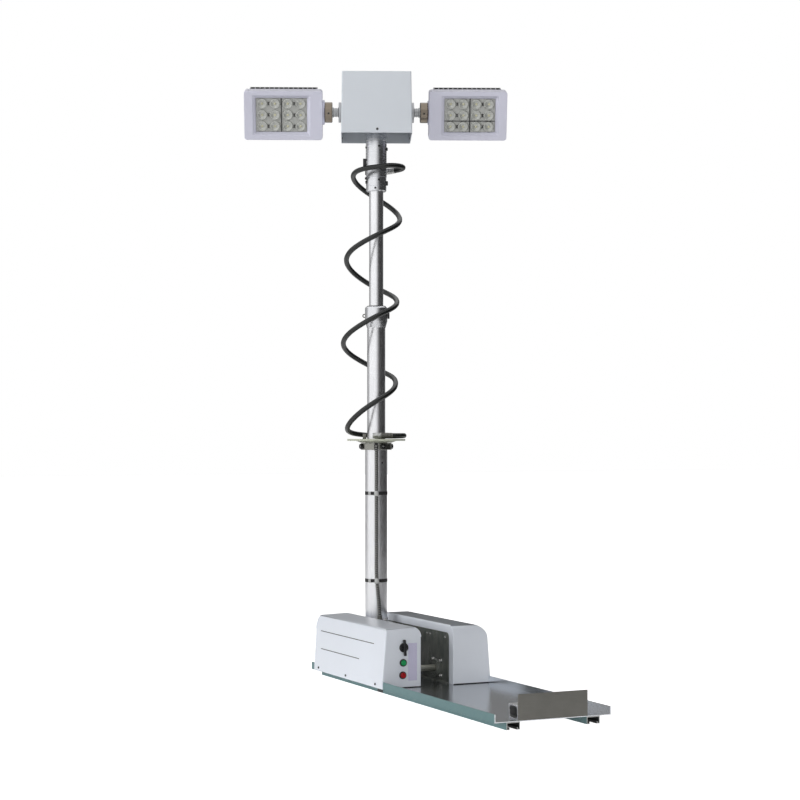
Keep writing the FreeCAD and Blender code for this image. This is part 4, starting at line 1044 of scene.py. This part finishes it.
# %% Neck, spigot and head box
fittings("neck_sleeve", ON_MAST, "stage_upper", ring_metal, turned([
    (23.1, 1557), (30.5, 1557), (33, 1559.5), (33, 1573.2), (32.2, 1573.8), (33, 1574.4), (33, 1602.6),
    (32.6, 1603.2), (34, 1603.8), (34, 1719.2), (33.2, 1720), (15.1, 1720),
    (15.1, 1659), (0, 1659), (0, 1642.1), (23.1, 1642.1)], 96), ("head_tube",))
fittings("turning_spigot", ON_MAST, "head", ring_metal, turned([
    (0, 1660.2), (15, 1660.2), (15, 1720.6), (33.2, 1720.6), (34, 1721.4), (34, 1766), (36, 1767),
    (45.2, 1767), (46, 1767.8), (46, 1774.2), (45.2, 1775), (0, 1775)], 96), ("head_spigot",))
dressed("pan_gearbox", dark_cast_and_fin_shade, 2.0)
dressed("head_cover", head_paint, 1.2, 3)


def neck_screws(bm):
    for turn, up, across, high in ((16, 1702, 7, 2.2), (16, 1593, 7, 2.2), (-4, 1566, 7, 2.2),
                                   (-78, 1701, 6, 2), (-72, 1699, 6, 2)):
        screw(bm, around(turn, 33.6, up).translation, outwards(turn), across, high)


def neck_side_bolts(bm):
    for turn, up, r, high in ((84, 1584, 7.5, 5), (82, 1695, 5.5, 4.5)):
        spun(bm, [(0, -2), (r, -2), (r, high - 1), (r - 1, high), (r * 0.5, high),
                  (r * 0.45, high - 2), (0, high - 2)], 24, around(turn, 33, up))


def neck_bracket(bm):
    block(bm, (-13, -3, 0), (13, 3, 12), 1.2, 2, around(-90, 31, 1652))
    for up in (1645, 1659):
        spun(bm, [(0, 0), (2.6, 0), (2.6, 1.2), (1.8, 1.8), (0, 1.8)], 14, around(-68, 34.2, up))


def tie_wraps(bm):
    for up, high, out in ((1588, 9, 2), (1600, 7, 3.5), (1618, 13, 2.5)):
        block(bm, (-4, -3, -2), (4, 5, out), 1, 2,
              around(-84, 33.5, up) @ Matrix.Scale(high / 8, 4, (1, 0, 0)))


def head_screws(bm):
    screw(bm, (110, 2, 1744), (1, 0, 0), 8, 2)
    for way in (-1, 1):
        for across, up in ((-85, 1745), (85, 1745)):
            screw(bm, (across, 110 * way, up), (0, way, 0), 6.5, 2)


for name, where, body, slot, finish, build in (
    ("neck_screws", ON_MAST, "stage_upper", "black_plastic", screw_black_and_valley_shade, neck_screws),
    ("neck_side_bolts", ON_MAST, "stage_upper", "black_plastic", black_plastic, neck_side_bolts),
    ("neck_bracket", ON_MAST, "stage_upper", "black_plastic", black_plastic, neck_bracket),
    ("neck_ties", ON_MAST, "stage_upper", "black_rubber", rubber, tie_wraps),
    ("head_box_screws", ON_HEAD, "head", "dark_steel", screw_black_and_valley_shade, head_screws),
):
    fittings(name, where, body, finish, build)
print("neck and head made")

# %% [markdown]
# ## The tilting arm
#
# The shaft passes right through the head, and carries a bronze-brown collar and a plate at each
# end. Seen from the side it is a row of stepped rings, so each kind of ring is one spun outline, set
# at both ends.

# %% Arm
def mirrored_rings(name, outline, body, finish, stands_for=()):
    """The same turned ring at both ends of the arm; outline is radius and distance from the mast."""
    bm = bmesh.new()
    for side in (1, -1):
        spun(bm, [(r, out * side) for r, out in outline], 72)
    settle(bm, name, ON_ARM, body, finish, stands_for)


mirrored_rings("arm_flange_rings", [
    (13.6, 113.5), (32.5, 113.5), (32.5, 121.9), (31.9, 122.5), (13.6, 122.5)],
    "head", flange_metal, ("arm_flanges",))
mirrored_rings("bronze_collars", [
    (13.6, 142.5), (31, 142.5), (33, 144.5), (33, 165.5), (31.5, 167.4), (13.6, 167.4)],
    "lamp_pair", bronze, ("shaft_collars",))
fittings("arm_shaft", ON_ARM, "lamp_pair", shaft_steel, turned(
    [(0, -167.5), (13.5, -167.5), (13.5, 167.5), (0, 167.5)], 64), ("lamp_shaft",))
mirrored_rings("arm_step_rings", [
    (13.4, 128.5), (14.6, 129), (14.6, 131.5), (13.9, 132), (13.9, 137.5), (15.5, 138), (16.2, 139),
    (16.2, 142.6), (13.4, 142.6)], "lamp_pair", shaft_steel)
mirrored_rings("arm_seal_rings", [
    (13.6, 122.4), (16, 122.4), (16, 124.2), (13.6, 124.2)], "head", rubber)


fittings("collar_set_screws", ON_ARM, "lamp_pair", screw_black_and_valley_shade, turned(
    [(0, -1), (3.2, -1), (3.2, 0.3), (2.4, 0.5), (0, 0.1)], 16,
    *(Matrix.Translation((0, 0, out)) @ Matrix.Rotation(radians(turn), 4, "Z")
      @ Matrix.Translation((32.8, 0, 0)) @ TO_FREE_END for out in (155, -155) for turn in (15, 180))))
dressed("lamp_plates", lamp_paint, 2.4, 3)
print("arm made")

# %% [markdown]
# ## The lamps
#
# Each lamp is a cast tray with a bevelled window. Behind the window sit twelve lenses in three rows
# of four: a clear cup with a bright rim round a small diode. A smooth dome would look like a
# button, because what the eye reads as a lens is the ring of light on its rim. So one cup is spun
# with a raised rim and a hollow middle, and set twelve times.

# %% Housings, fins and boards
LAMP_MIDDLE = 302.5
COLUMN, ROW = 166 / 4, 109 / 3
WINDOW_OFF = 6.5
WINDOW_UP = 0.5
PANEL_FACE = 26
SETTLED = {"left": (0, 1.5, -5.5), "right": (0, -5.5, -4.5)}
WAY = {"left": -1, "right": 1}


def settled(piece, side):
    """Moves a lamp's piece to where the lamp hangs on its plate."""
    piece.data.transform(Matrix.Translation(ON_LAMP.to_3x3() @ Vector(SETTLED[side])))


for side in SETTLED:
    settled(dressed(f"lamp_housing_{side}", lamp_paint, 1.6, 3), side)
for side in SETTLED:
    settled(dressed(f"heat_sink_{side}", fin_metal, 0.5), side)


def lamp_side(side):
    """A matrix whose origin is the middle of a lamp's board, facing out along x."""
    place = Vector((PANEL_FACE, (LAMP_MIDDLE + WINDOW_OFF) * WAY[side], WINDOW_UP))
    return ON_LAMP @ Matrix.Translation(place + Vector(SETTLED[side]))


LENS_SPOTS = [Matrix.Translation((0, (column - 1.5) * COLUMN, (row - 1) * ROW)) @ TO_FREE_END
              for row in range(3) for column in range(4)]
RIM = [(0, 0), (16.6, 0), (16.6, 1.6), (16.1, 3.4), (15, 4.5), (13.6, 4.8), (12.2, 4.3),
       (9.5, 2.5), (6.4, 1.4), (4.1, 1.1), (0, 1.1)]
DIODE = [(0, 1), (3.9, 1), (3.9, 2.2), (3, 3.4), (1.6, 4.1), (0, 4.3)]
RING = [(15.7, 0), (17.2, 0), (17.2, 2.4), (16.7, 3.8), (16.1, 4), (15.7, 3.2)]


def dividers(bm):
    block(bm, (0, -1.4, -54), (3.6, 1.4, 54), 0.4, 1)
    for across in (-COLUMN, COLUMN):
        for up in (-ROW, 0, ROW):
            for turn in (20, -20):
                block(bm, (0, -1, -5.5), (2.6, 1, 5.5), 0.4, 1, Matrix.Translation((0, across, up))
                      @ Matrix.Rotation(radians(turn), 4, "X"))


for side in SETTLED:
    off = WINDOW_OFF * WAY[side]
    for kind, slot, finish, build in (
        ("board", "lens_clear", board_grey, blocks(((-4, -82.6, -54), (0, 82.6, 54), 0.4, 1))),
        ("lens_rims", "lens_clear", lens_clear, turned(RIM, 36, *LENS_SPOTS)),
        ("diodes", "lens_clear", diode_cream, turned(DIODE, 20, *LENS_SPOTS)),
        ("lens_rings", "lens_clear", lens_edge, turned(RING, 36, *LENS_SPOTS)),
        ("dividers", "black_plastic", black_plastic, dividers),
        # The dark bar behind the fins is painted shade, which shows between them from the front.
        ("fin_shade_bar", "dark_steel", dark_cast_and_fin_shade,
         blocks(((-80.6, -107 - off, 40), (-76, 107 - off, 78.9), 0.6, 1))),
        ("row_divider", "black_plastic", black_plastic,
         blocks(((0, -82, -ROW / 2 - 1), (3, 82, -ROW / 2 + 1), 0.4, 1))),
    ):
        if (side, kind) != ("left", "row_divider"):
            fittings(f"{kind}_{side}", lamp_side(side), "lamp_pair", finish, build,
                     (f"lens_panel_{side}",) if kind == "board" else ())
print("lenses a lamp:", len(LENS_SPOTS))
